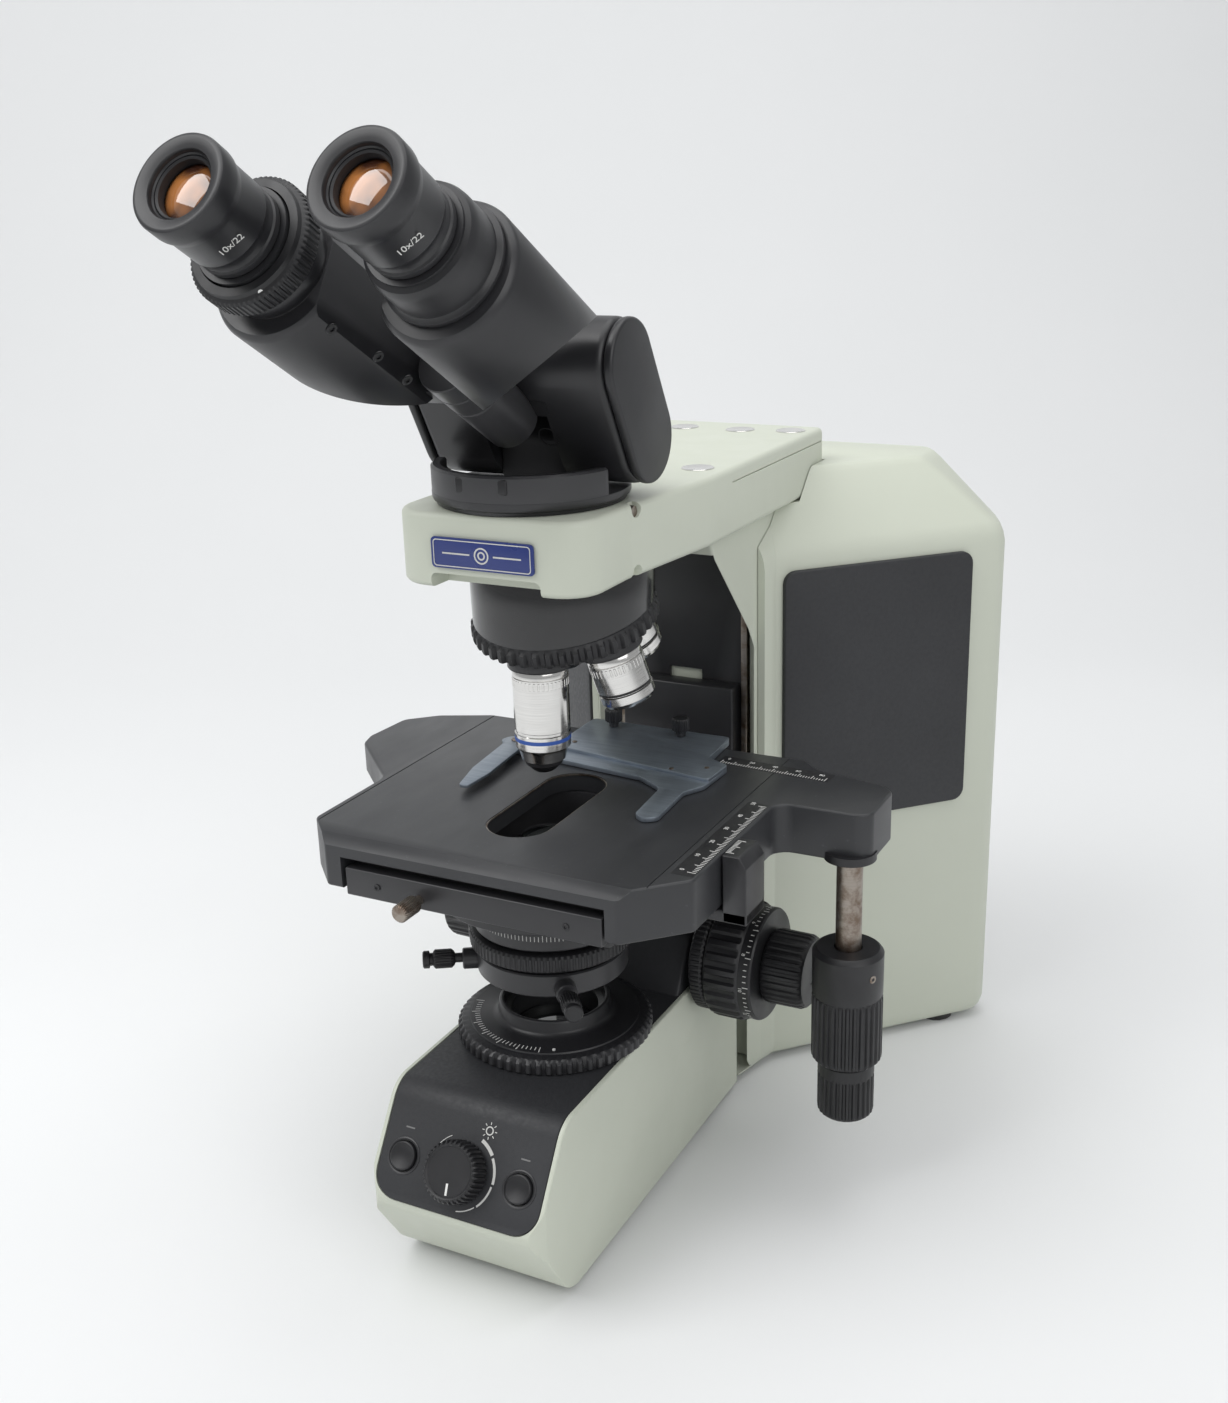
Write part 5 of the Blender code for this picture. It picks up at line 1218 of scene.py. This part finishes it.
class MICROSCOPE_OT_focus(bpy.types.Operator):
    """Tension ring, long-ribbed coarse knobs with a graduated ring and ribbed fine knobs"""
    bl_idname = "microscope.focus"
    bl_label = "Focus drive"

    def execute(self, context):
        low, high = span("tension_ring")
        ring = turned([(12, low.x), (28.4, low.x), (29.7, low.x + 1.2, 0.5), (29.7, high.x - 1.6, 0.5),
                       (28.6, high.x - 0.4),
                       (27.4, high.x), (12, high.x)], ribs=64)
        piece("tension_wheel", ring, "tension_ring", "knob_black", ["tension_ring"], matrix=FOCUS_PLACE)
        fine_low, fine_high = 85.5, span("fine_knobs")[1].x
        fines, coarse_marks = [], []
        for side, name in ((1, "right"), (-1, "left")):
            place = FOCUS_PLACE if side > 0 else FOCUS_PLACE @ spin(180, "X")
            start = span("coarse_knob_right")[0].x
            knob = turned([(9.2, start), (29.6, start), (31.2, start + 1.4, 0.7), (31.7, start + 4, 1.5),
                           (31.7, start + 17, 1.5), (31.0, start + 18.4, 0.5), (30.4, start + 19.0),
                           (29.9, start + 19.6),
                           (29.9, start + 25.6), (29.2, start + 26.6), (26.5, start + 26.9), (9.2, start + 26.9)],
                          ribs=detail().focus_ribs)
            piece(f"coarse_wheel_{name}", knob, "coarse_drive", "knob_black", [f"coarse_knob_{name}"],
                  matrix=place)
            scale = side_ticks(60, 0, 354, 29.9, start + 22.6, start + 25.6, 0.4)
            digits = [moved(text_shape(str((k * 2) % 20), 2.7), spin(k * 36 + 3) @ at(29.86, 0, start + 21.2)
                            @ spin(90, "Y") @ spin(90, "Z")) for k in range(10)]
            coarse_marks.append(moved(merged(scale, *digits), place))
            knob = turned([(0, fine_low), (18.4, fine_low), (19.4, fine_low + 1.0, 0.7), (19.8, fine_low + 2.4, 0.9),
                           (19.6, fine_high - 3.0, 0.9), (18.6, fine_high - 1.0, 0.3), (17.4, fine_high),
                           (6.4, fine_high),
                           (5.8, fine_high - 0.6), (0, fine_high - 0.8)], ribs=detail().fine_ribs)
            fines.append(moved(knob, place))
        piece("focus_scale", merged(*coarse_marks), "coarse_drive", "white_figures")
        piece("fine_wheels", merged(*fines), "fine_drive", "knob_black", ["fine_knobs"])
        return {"FINISHED"}


class MICROSCOPE_OT_condenser(bpy.types.Operator):
    """Condenser in its holder, with scale, knurled aperture ring, lens and centring screws"""
    bl_idname = "microscope.condenser"
    bl_label = "Condenser"

    def execute(self, context):
        profile = [(0, 131.2), (20, 131.2), (20.6, 134), (24, 135), (29.7, 135), (29.7, 152.7), (37.6, 152.7),
                   (38.3, 153.6), (38.3, 172.4), (37.4, 173.2), (37.4, 175.2), (38.3, 176), (38.3, 181),
                   (37.4, 181.9),
                   (20.4, 182.0), (19.8, 183.8), (15.2, 187.8), (14.4, 189.6), (13.0, 197.6), (12.8, 186.5),
                   (0, 186.4)]
        body = turned(profile)
        piece("condenser_shell", body, "condenser", "satin_black", ["condenser_body"])
        figures = [moved(text_shape(f"{0.9 - 0.1 * k:.1f}", 3.0), spin(-152 + 14 * k) @ at(38.26, 0, 166)
                         @ spin(90, "Y") @ spin(90, "Z")) for k in range(8)]
        ticks = side_ticks(36, -154, -52, 38.3, 158.4, 162.6, 0.35)
        piece("condenser_scale", merged(ticks, *figures), "condenser", "pale_print")
        glass = turned([(0, 186.6), (12.4, 186.6), (12.4, 197.0), (9, 197.6), (0, 197.9)])
        piece("condenser_glass", glass, "condenser", "dark_lens", ["condenser_lens"])
        low, high = span("aperture_ring")
        ring = turned([(30.8, low.z), (39.6, low.z), (40.8, low.z + 1.0, 0.5), (40.8, high.z - 1.8, 0.5),
                       (39.8, high.z - 0.6), (38.8, high.z), (30.8, high.z)], ribs=90)
        piece("aperture_wheel", ring, "aperture_ring", "knob_black", ["aperture_ring"])
        holder = turned([(30.6, 128.2), (36.8, 128.2), (37.8, 129.2), (37.8, 139.4), (37.0, 140.1), (31.2, 140.1),
                         (30.6, 139.6)])
        arms = [block((-13.9, 35, 128.4), (13.9, 52, 140), 1.0), block((-13.9, 44.2, 130), (13.9, 51.8, 163.8), 1.0),
                block((-13.9, 46.2, 150.2), (13.9, 121.5, 162.8), 1.0)]
        bosses = [moved(disc(5.3, 36, 45, 0.6), at(0, 0, 133.0) @ spin(turn) @ spin(90, "Y")) for turn in (-148, -52)]
        piece("condenser_bracket", merged(holder, *arms, *bosses), "condenser", "satin_black",
              ["condenser_holder"])
        for turn, name in ((-148, "centring_screw_left"), (-52, "centring_screw_right")):
            screw = turned([(0, 31.2), (2.3, 31.2), (2.4, 48.6), (3.6, 49.2), (4.8, 50.6, 0.35), (4.8, 58.6, 0.35),
                            (4.0, 59.4), (3.2, 59.8), (3.2, 61.2), (4.4, 61.6), (4.4, 64.2), (3.8, 64.8), (0, 64.9)],
                           ribs=20)
            piece(name + "_knob", screw, name, "knob_black", [name],
                  matrix=at(0, 0, 133.6) @ spin(turn) @ spin(90, "Y"))
        low, high = span("condenser_knob")
        place = joint_place("condenser_knob_turn")
        knob = turned([(0, low.x), (11.6, low.x), (12.8, low.x + 1.2, 0.6), (12.8, -38.4, 0.6), (11.8, -37),
                       (6.2, -36.4),
                       (6.0, -36), (0, -36)], ribs=32)
        shaft = disc(5.8, -37, high.x - 0.2)
        piece("condenser_wheel", merged(knob, shaft), "condenser_drive", "knob_black",
              ["condenser_knob"],
              matrix=place)
        return {"FINISHED"}


STAGE_OUTLINE = [(-78, -74), (76, -74), (101, -49), (101, 47), (143, 47), (148, 52), (148, 82), (142, 88), (104, 96),
                 (94, 106), (-94, 106), (-122, 94), (-137, 80), (-139, 50), (-136, 40), (-130, 34), (-96, 1),
                 (-96, -56)]
STAGE_RADII = [3, 4, 5, 9, 8, 6, 6, 8, 10, 8, 8, 8, 8, 8, 8, 10, 14, 5]
SLAB = 9.4


class MICROSCOPE_OT_stage(bpy.types.Operator):
    """Stage plate with bevelled edges, wings, slot, groove lines and scales"""
    bl_idname = "microscope.stage"
    bl_label = "Stage"

    def execute(self, context):
        top = STAGE_HIGH.z
        inset = 0.35
        outline = rounded(STAGE_OUTLINE, STAGE_RADII, 6)
        skirt = plate(outline, STAGE_LOW.z + 0.2, top, "Z", detail().plate_edge + inset, 4)
        slot = stadium((0, 2 - 26.5), (0, 2 + 26.5), 16.6, 20)
        cavity = [(-86, -60), (90, -60), (90, 92), (-86, 92)]
        shaft = joint_place("y_knob_turn").translation
        cuts = [("DIFFERENCE", plate(slot, STAGE_LOW.z - 5, top + 5)),
                ("DIFFERENCE", plate(rounded(cavity, 4), STAGE_LOW.z - 5, top - SLAB)),
                ("DIFFERENCE", block((-150, -2, STAGE_LOW.z - 6), (-97, 110, 197))),
                ("DIFFERENCE", block((-92.5, -80, top - 0.35), (-91.9, 110, top + 1))),
                ("DIFFERENCE", block((85.2, -80, top - 0.35), (85.8, 110, top + 1))),
                ("DIFFERENCE", moved(disc(6.8, STAGE_LOW.z - 5, STAGE_LOW.z + 12), at(shaft.x, shaft.y))),
                ("DIFFERENCE", block((-69.5, -90, STAGE_LOW.z - 6), (69.5, -58, top - SLAB)))]
        chamfer = moved(block((-200, -60, 0), (200, 0, 30)), at(0, -68.5, top) @ spin(38, "X"))
        cuts.append(("DIFFERENCE", chamfer))
        piece("stage_plate", skirt, "stage_plate", "stage_black", ["stage_top"], cuts=cuts)
        lip = plate(slot, top - 1.1, top - 0.35, "Z")
        piece("stage_slot_lip", lip, "stage_plate", "worn_steel",
              cuts=[("DIFFERENCE", plate(stadium((0, 2 - 26.5), (0, 2 + 26.5), 15.9, 20), top - 5, top + 5))])
        bed_top, lift = top + 0.05, top + 0.02
        strip = plate(rounded([(88.5, -47), (99.3, -47), (99.3, 42), (88.5, 42)], 0.8), top - 0.1, bed_top)
        piece("stage_scale_bed", strip, "stage_plate", "knob_black")
        ticks = row_ticks(51, (99.0, -43), (99.0, 39), (-1, 0), 4.2, lift)
        figures = [moved(text_shape(str(10 * k), 3.1), at(91.6, -41 + 16.4 * k, lift) @ spin(90)) for k in range(6)]
        piece("stage_scale", merged(ticks, *figures), "stage_plate", "white_figures")
        bed = moved(plate(rounded([(0, -5.2), (62, -5.2), (62, 5.2), (0, 5.2)], 0.8), top - 0.1, bed_top),
                    at(53, 90.5) @ spin(-4))
        piece("stage_cross_scale_bed", bed, "stage_plate", "knob_black")
        ticks = moved(row_ticks(41, (2, -4.6), (60, -4.6), (0, 1), 4.0, lift), at(53, 90.5) @ spin(-4))
        figures = [moved(text_shape(str(20 * k), 3.0), at(53, 90.5) @ spin(-4) @ at(4 + 13 * k, 2.2, lift))
                   for k in range(5)]
        piece("stage_cross_scale", merged(ticks, *figures), "stage_plate", "white_figures")
        collar = moved(turned([(6.9, STAGE_LOW.z - 0.1), (12.8, STAGE_LOW.z - 0.1), (12.8, STAGE_LOW.z + 4),
                               (6.9, STAGE_LOW.z + 4)], 64), at(136, 55))
        piece("handle_collar", collar, "stage_plate", "knob_black")
        return {"FINISHED"}


class MICROSCOPE_OT_stage_support(bpy.types.Operator):
    """Stage carrier on the column, the slide base under the plate and its knurled lock screw"""
    bl_idname = "microscope.stage_support"
    bl_label = "Stage support"

    def execute(self, context):
        low, high = span("stage_carrier")
        ring = turned([(42.3, 170.2), (55.2, 170.2), (55.8, 170.8), (55.8, 179.1), (55.2, 179.6), (42.3, 179.6)])
        boxes = [block((-33.8, 46, 170.2), (33.8, 161, 179.6), 1.2),
                 block((-33.8, 151, 128.2), (33.8, 163.0, 229.8), 1.2),
                 block((-33.8, 122.2, 143.2), (33.8, 156, 174.8), 1.4)]
        piece("carrier_casting", merged(ring, *boxes), "stage_lift", "satin_black",
              ["stage_carrier"], cuts=[("DIFFERENCE", plate(stadium((0, 0), (0, 0.1), 42.2, 24), 160, 190))])
        low, high = span("stage_base")
        slab = plate(rounded([(-67.8, -65.8), (67.8, -65.8), (67.8, 64.8), (-67.8, 64.8)], 3), 180.2, 202.8, "Z", 0.8)
        bar = block((-67.8, low.y + 0.2, 184.2), (67.8, -64, 198.1), 0.7)
        arm = block((63, -21.8, 180.2), (113.8, -0.2, 185.8), 0.7)
        vernier = plate(rounded([(102.2, 180.2), (113.8, 180.2), (113.8, 208), (110.5, high.z - 0.2),
                                 (102.2, high.z - 0.2)],
                                [0.6, 0.6, 1.5, 2, 0.6]), -21.8, -0.2, "Y", 0.6)
        hole = plate(stadium((0, -1), (0, 1), 42, 24), 170, 210)
        piece("slide_bed", merged(slab, bar, arm), "stage_lift", "satin_black", ["stage_base"],
              cuts=[("DIFFERENCE", hole)])
        piece("vernier_block", vernier, "stage_lift", "satin_black")
        marks = row_ticks(11, (102.4, -18), (102.4, -4), (1, 0), 4.0, high.z - 0.2, 5)
        piece("vernier_marks", marks, "stage_lift", "white_figures")
        for k, x in enumerate((-50, 50)):
            add_screw(f"bar_screw_{k + 1}", "stage_lift", at(x, low.y + 0.2, 191) @ spin(90, "X"), 1.7, 0.6)
        low, high = span("stage_lock_screw")
        centre = (low + high) / 2
        screw = turned([(0, 0), (3.6, 0), (4.3, 0.8, 0.35), (4.3, 12.0, 0.35), (3.4, 12.8), (2.4, 13.4), (2.4, 25.5),
                        (0, 25.6)], ribs=24)
        piece("lock_knurl", screw, "stage_lock", "worn_steel", ["stage_lock_screw"],
              matrix=at(centre.x, low.y + 0.2, centre.z) @ spin(-90, "X"))
        return {"FINISHED"}


class MICROSCOPE_OT_stage_handle(bpy.types.Operator):
    """Low drive handle of the stage: worn shaft with an upper and a lower ribbed knob"""
    bl_idname = "microscope.stage_handle"
    bl_label = "Stage handle"

    def execute(self, context):
        place = at(*joint_place("y_knob_turn").translation.xy)
        low, high = span("handle_shaft")
        shaft = turned([(0, low.z + 0.2), (6.3, low.z + 0.2), (6.4, low.z + 1), (6.4, high.z - 1),
                        (0, high.z - 0.4)], 64)
        piece("handle_rod", shaft, "x_drive", "worn_steel", ["handle_shaft"], matrix=place)
        low, high = span("stage_y_knob")
        knob = turned([(7.0, low.z), (16.4, low.z), (17.5, low.z + 1.2, 1.0), (17.7, low.z + 3, 1.1),
                       (17.7, high.z - 27, 1.1), (17.3, high.z - 25.6, 0.3), (17.0, high.z - 25.0),
                       (17.6, high.z - 24),
                       (17.7, high.z - 2.4), (16.6, high.z - 0.8), (15.4, high.z), (7.0, high.z)], ribs=30)
        piece("y_drive_knob", knob, "y_drive", "knob_black", ["stage_y_knob"], matrix=place)
        add_screw("y_drive_screw", "y_drive", place @ at(0, 0, high.z - 11) @ spin(-28) @ at(17.4) @ spin(90, "Y"),
                  2.0, 0.5, finish="worn_steel")
        low, high = span("stage_x_knob")
        knob = turned([(0, low.z), (12.6, low.z), (13.9, low.z + 1.2, 0.8), (14.2, low.z + 3, 1.0),
                       (14.2, high.z - 9, 1.0), (14.0, high.z - 8, 0.2), (14.2, high.z - 7.2), (14.2, high.z - 1.4),
                       (13.0, high.z - 0.2), (7.0, high.z - 0.2), (0, high.z - 0.2)], ribs=26)
        piece("x_drive_knob", knob, "x_drive", "knob_black", ["stage_x_knob"], matrix=place)
        return {"FINISHED"}


HOLDER_OUTLINE = [(-32, 112), (-32, 76), (-60, 70), (-62, 62), (-56, 56), (28, 46), (44, 36), (47, 2), (53, -2),
                  (59, 2),
                  (57, 36), (63, 47), (64, 74), (51, 80), (49, 112)]
HOLDER_RADII = [2, 3, 4, 4, 3, 6, 8, 5, 4, 5, 6, 3, 3, 3, 2]


class MICROSCOPE_OT_slide_holder(bpy.types.Operator):
    """Thin slide holder with its raised plate, curved spring finger and two thumb screws"""
    bl_idname = "microscope.slide_holder"
    bl_label = "Slide holder"

    def execute(self, context):
        low, high = span("slide_holder")
        step = 215.4
        lower = plate(rounded(HOLDER_OUTLINE, HOLDER_RADII, 6), low.z, step, "Z", 0.3, 2)
        upper = plate(rounded([(-32, 112), (-32, 66), (63, 52), (64, 74), (51, 80), (49, 112)], [2, 2, 2, 3, 3, 2]),
                      step - 0.3, high.z, "Z", 0.3, 2)
        piece("holder_plate", lower, "slide_holder", "grey_anodised", ["slide_holder"])
        piece("holder_step", upper, "slide_holder", "grey_anodised")
        finger = [(-60, 68), (-62, 62), (-58, 57), (-54, 20), (-48, -3), (-43, -3), (-42, 16), (-46, 56), (-48, 66),
                  (-54, 70)]
        low_finger, high_finger = span("spring_finger")
        body = plate(rounded(finger, [4, 4, 5, 20, 2.4, 2.4, 16, 8, 4, 4], 7), low_finger.z, high_finger.z, "Z",
                     0.35, 2)
        piece("finger_blade", body, "spring_finger", "grey_anodised", ["spring_finger"])
        pivot = joint_place("spring_finger_open").translation
        add_screw("finger_pivot", "spring_finger", at(pivot.x, pivot.y, high_finger.z - 0.2), 2.6, 0.9, 0.7,
                  "worn_steel")
        for name in ("thumb_screw_left", "thumb_screw_right"):
            low_screw, high_screw = span(name)
            centre = (low_screw + high_screw) / 2
            knob = turned([(0, low_screw.z), (2.6, low_screw.z), (2.6, low_screw.z + 2.4), (4.0, low_screw.z + 2.8),
                           (4.7, low_screw.z + 3.4, 0.35), (4.7, high_screw.z - 0.9, 0.35), (4.0, high_screw.z - 0.1),
                           (0, high_screw.z)], ribs=20)
            piece(name + "_knob", knob, "slide_holder", "knob_black", [name],
                  matrix=at(centre.x, centre.y))
        for k, (x, y) in enumerate(((40, 58), (56, 66), (-24, 74))):
            add_screw(f"holder_screw_{k + 1}", "slide_holder", at(x, y, high.z), 1.3, 0.4, 0.4, "worn_steel")
        return {"FINISHED"}


class MICROSCOPE_OT_inner_parts(bpy.types.Operator):
    """Finishes for the frame pieces that keep their plain shape, such as plates and shafts"""
    bl_idname = "microscope.inner_parts"
    bl_label = "Plain parts"

    def execute(self, context):
        plain = {"base_plate": "satin_black", "mirror_mount": "silvered", "lamp_board": "circuit_board",
                 "head_clamp_screw": "worn_steel", "rear_panel": "grained_panel", "power_inlet": "knob_black",
                 "power_switch": "knob_black", "pinion_shaft": "worn_steel"}
        missing = [name for name in plain if name not in bpy.data.objects]
        if missing:
            self.report({"ERROR"}, "no such piece: " + ", ".join(missing))
            return {"CANCELLED"}
        for name, finish in plain.items():
            mesh = bpy.data.objects[name].data
            mesh.materials.clear()
            mesh.materials.append(FINISHES[finish]())
        return {"FINISHED"}


class MICROSCOPE_OT_studio(bpy.types.Operator):
    """Pale swept backdrop, soft lights, world and camera"""
    bl_idname = "microscope.studio"
    bl_label = "Studio"

    def execute(self, context):
        scene = context.scene
        floor_z = span("base_plate")[0].z - 0.05
        profile = [(-4200, 0), (900, 0)]
        profile += [(900 + 900 * math.sin(math.radians(6 * k)), 900 - 900 * math.cos(math.radians(6 * k)))
                    for k in range(1, 16)]
        profile += [(1800, 4200)]
        bm = bmesh.new()
        rows = [[bm.verts.new((x, y, z + floor_z)) for x in (-4200, 4200)] for y, z in profile]
        for a, b in zip(rows, rows[1:]):
            bm.faces.new((a[0], a[1], b[1], b[0]))
        sweep = store("backdrop", moved(bm, spin(CAMERA_TURN)), Matrix.Identity(4), 60)
        sweep.data.materials.append(paper())
        lights = [("key_light", (-900, -1000, 1900), 1500, 25.0), ("fill_light", (1500, -900, 1300), 1500, 11.0),
                  ("top_light", (100, 250, 2000), 1700, 15.0)]
        for name, place, size, power in lights:
            data = bpy.data.lights.new(name, "AREA")
            data.shape = "SQUARE"
            data.size = size * MM
            data.energy = power
            lamp = bpy.data.objects.new(name, data)
            scene.collection.objects.link(lamp)
            lamp.location = Vector(place) * MM
            aim = Vector((0, 40, 230)) * MM - lamp.location
            lamp.rotation_euler = aim.to_track_quat("-Z", "Y").to_euler()
        world = bpy.data.worlds.new("studio")
        world.use_nodes = True
        world.node_tree.nodes["Background"].inputs["Color"].default_value = (0.86, 0.87, 0.88, 1)
        world.node_tree.nodes["Background"].inputs["Strength"].default_value = 0.48
        scene.world = world
        camera_data = bpy.data.cameras.new("camera")
        camera_data.lens = CAMERA_LENS
        camera_data.sensor_width = 36.0
        camera_data.clip_end = 50.0
        camera = bpy.data.objects.new("camera", camera_data)
        scene.collection.objects.link(camera)
        camera.matrix_world = Matrix.Translation(Vector(CAMERA_AT) * MM) @ camera_axes()
        scene.camera = camera
        scene.view_settings.view_transform = "Standard"
        return {"FINISHED"}


CAMERA_AT = (365.744, -626.169, 509.362)
CAMERA_LENS = 41.29
CAMERA_TURN = 27.57
CAMERA_DROP = 18.66
CAMERA_ROLL = -1.70


def camera_axes():
    """Rotation of the camera: turned about +Z, tipped down, then rolled about its own view."""
    turn, drop, roll = (math.radians(v) for v in (CAMERA_TURN, CAMERA_DROP, CAMERA_ROLL))
    forward = Vector((-math.sin(turn) * math.cos(drop), math.cos(turn) * math.cos(drop), -math.sin(drop)))
    right = Vector((math.cos(turn), math.sin(turn), 0))
    down = forward.cross(right)
    across = right * math.cos(roll) - down * math.sin(roll)
    below = right * math.sin(roll) + down * math.cos(roll)
    return Matrix((across, -below, -forward)).transposed().to_4x4()


def paper():
    """Matt pale paper with a faint mottle."""
    nodes = Nodes("backdrop_paper")
    mottle = nodes.noise(3.0, 2.0)
    nodes.colour(nodes.mix(mottle, (0.80, 0.81, 0.815, 1), (0.83, 0.835, 0.84, 1)))
    nodes.shader.inputs["Roughness"].default_value = 0.9
    return nodes.material


OPERATORS = [MICROSCOPE_OT_base, MICROSCOPE_OT_cover, MICROSCOPE_OT_controls, MICROSCOPE_OT_field,
             MICROSCOPE_OT_column,
             MICROSCOPE_OT_rear, MICROSCOPE_OT_arm, MICROSCOPE_OT_nosepiece, MICROSCOPE_OT_objectives,
             MICROSCOPE_OT_head, MICROSCOPE_OT_tubes, MICROSCOPE_OT_eyepieces, MICROSCOPE_OT_focus,
             MICROSCOPE_OT_condenser, MICROSCOPE_OT_stage, MICROSCOPE_OT_stage_support, MICROSCOPE_OT_stage_handle,
             MICROSCOPE_OT_slide_holder, MICROSCOPE_OT_inner_parts, MICROSCOPE_OT_studio]


class MICROSCOPE_PT_panel(bpy.types.Panel):
    """Lists the steps that build the microscope"""
    bl_idname = "MICROSCOPE_PT_panel"
    bl_label = "Microscope"
    bl_space_type = "VIEW_3D"
    bl_region_type = "UI"
    bl_category = "Microscope"

    def draw(self, context):
        layout = self.layout
        for group in (context.scene.microscope_colours, context.scene.microscope_detail):
            box = layout.box()
            for name in group.bl_rna.properties.keys():
                if name not in ("rna_type", "name"):
                    box.prop(group, name)
        column = layout.column(align=True)
        for operator in OPERATORS:
            column.operator(operator.bl_idname)


CLASSES = [MicroscopeColours, MicroscopeDetail, *OPERATORS, MICROSCOPE_PT_panel]


def register():
    for cls in CLASSES:
        bpy.utils.register_class(cls)
    bpy.types.Scene.microscope_colours = bpy.props.PointerProperty(type=MicroscopeColours)
    bpy.types.Scene.microscope_detail = bpy.props.PointerProperty(type=MicroscopeDetail)


def unregister():
    del bpy.types.Scene.microscope_detail
    del bpy.types.Scene.microscope_colours
    for cls in reversed(CLASSES):
        bpy.utils.unregister_class(cls)


def main():
    register()
    for operator in OPERATORS:
        family, name = operator.bl_idname.split(".")
        result = getattr(getattr(bpy.ops, family), name)()
        if result != {"FINISHED"}:
            raise RuntimeError(f"{operator.bl_label} did not finish")


if __name__ == "__main__":
    main()
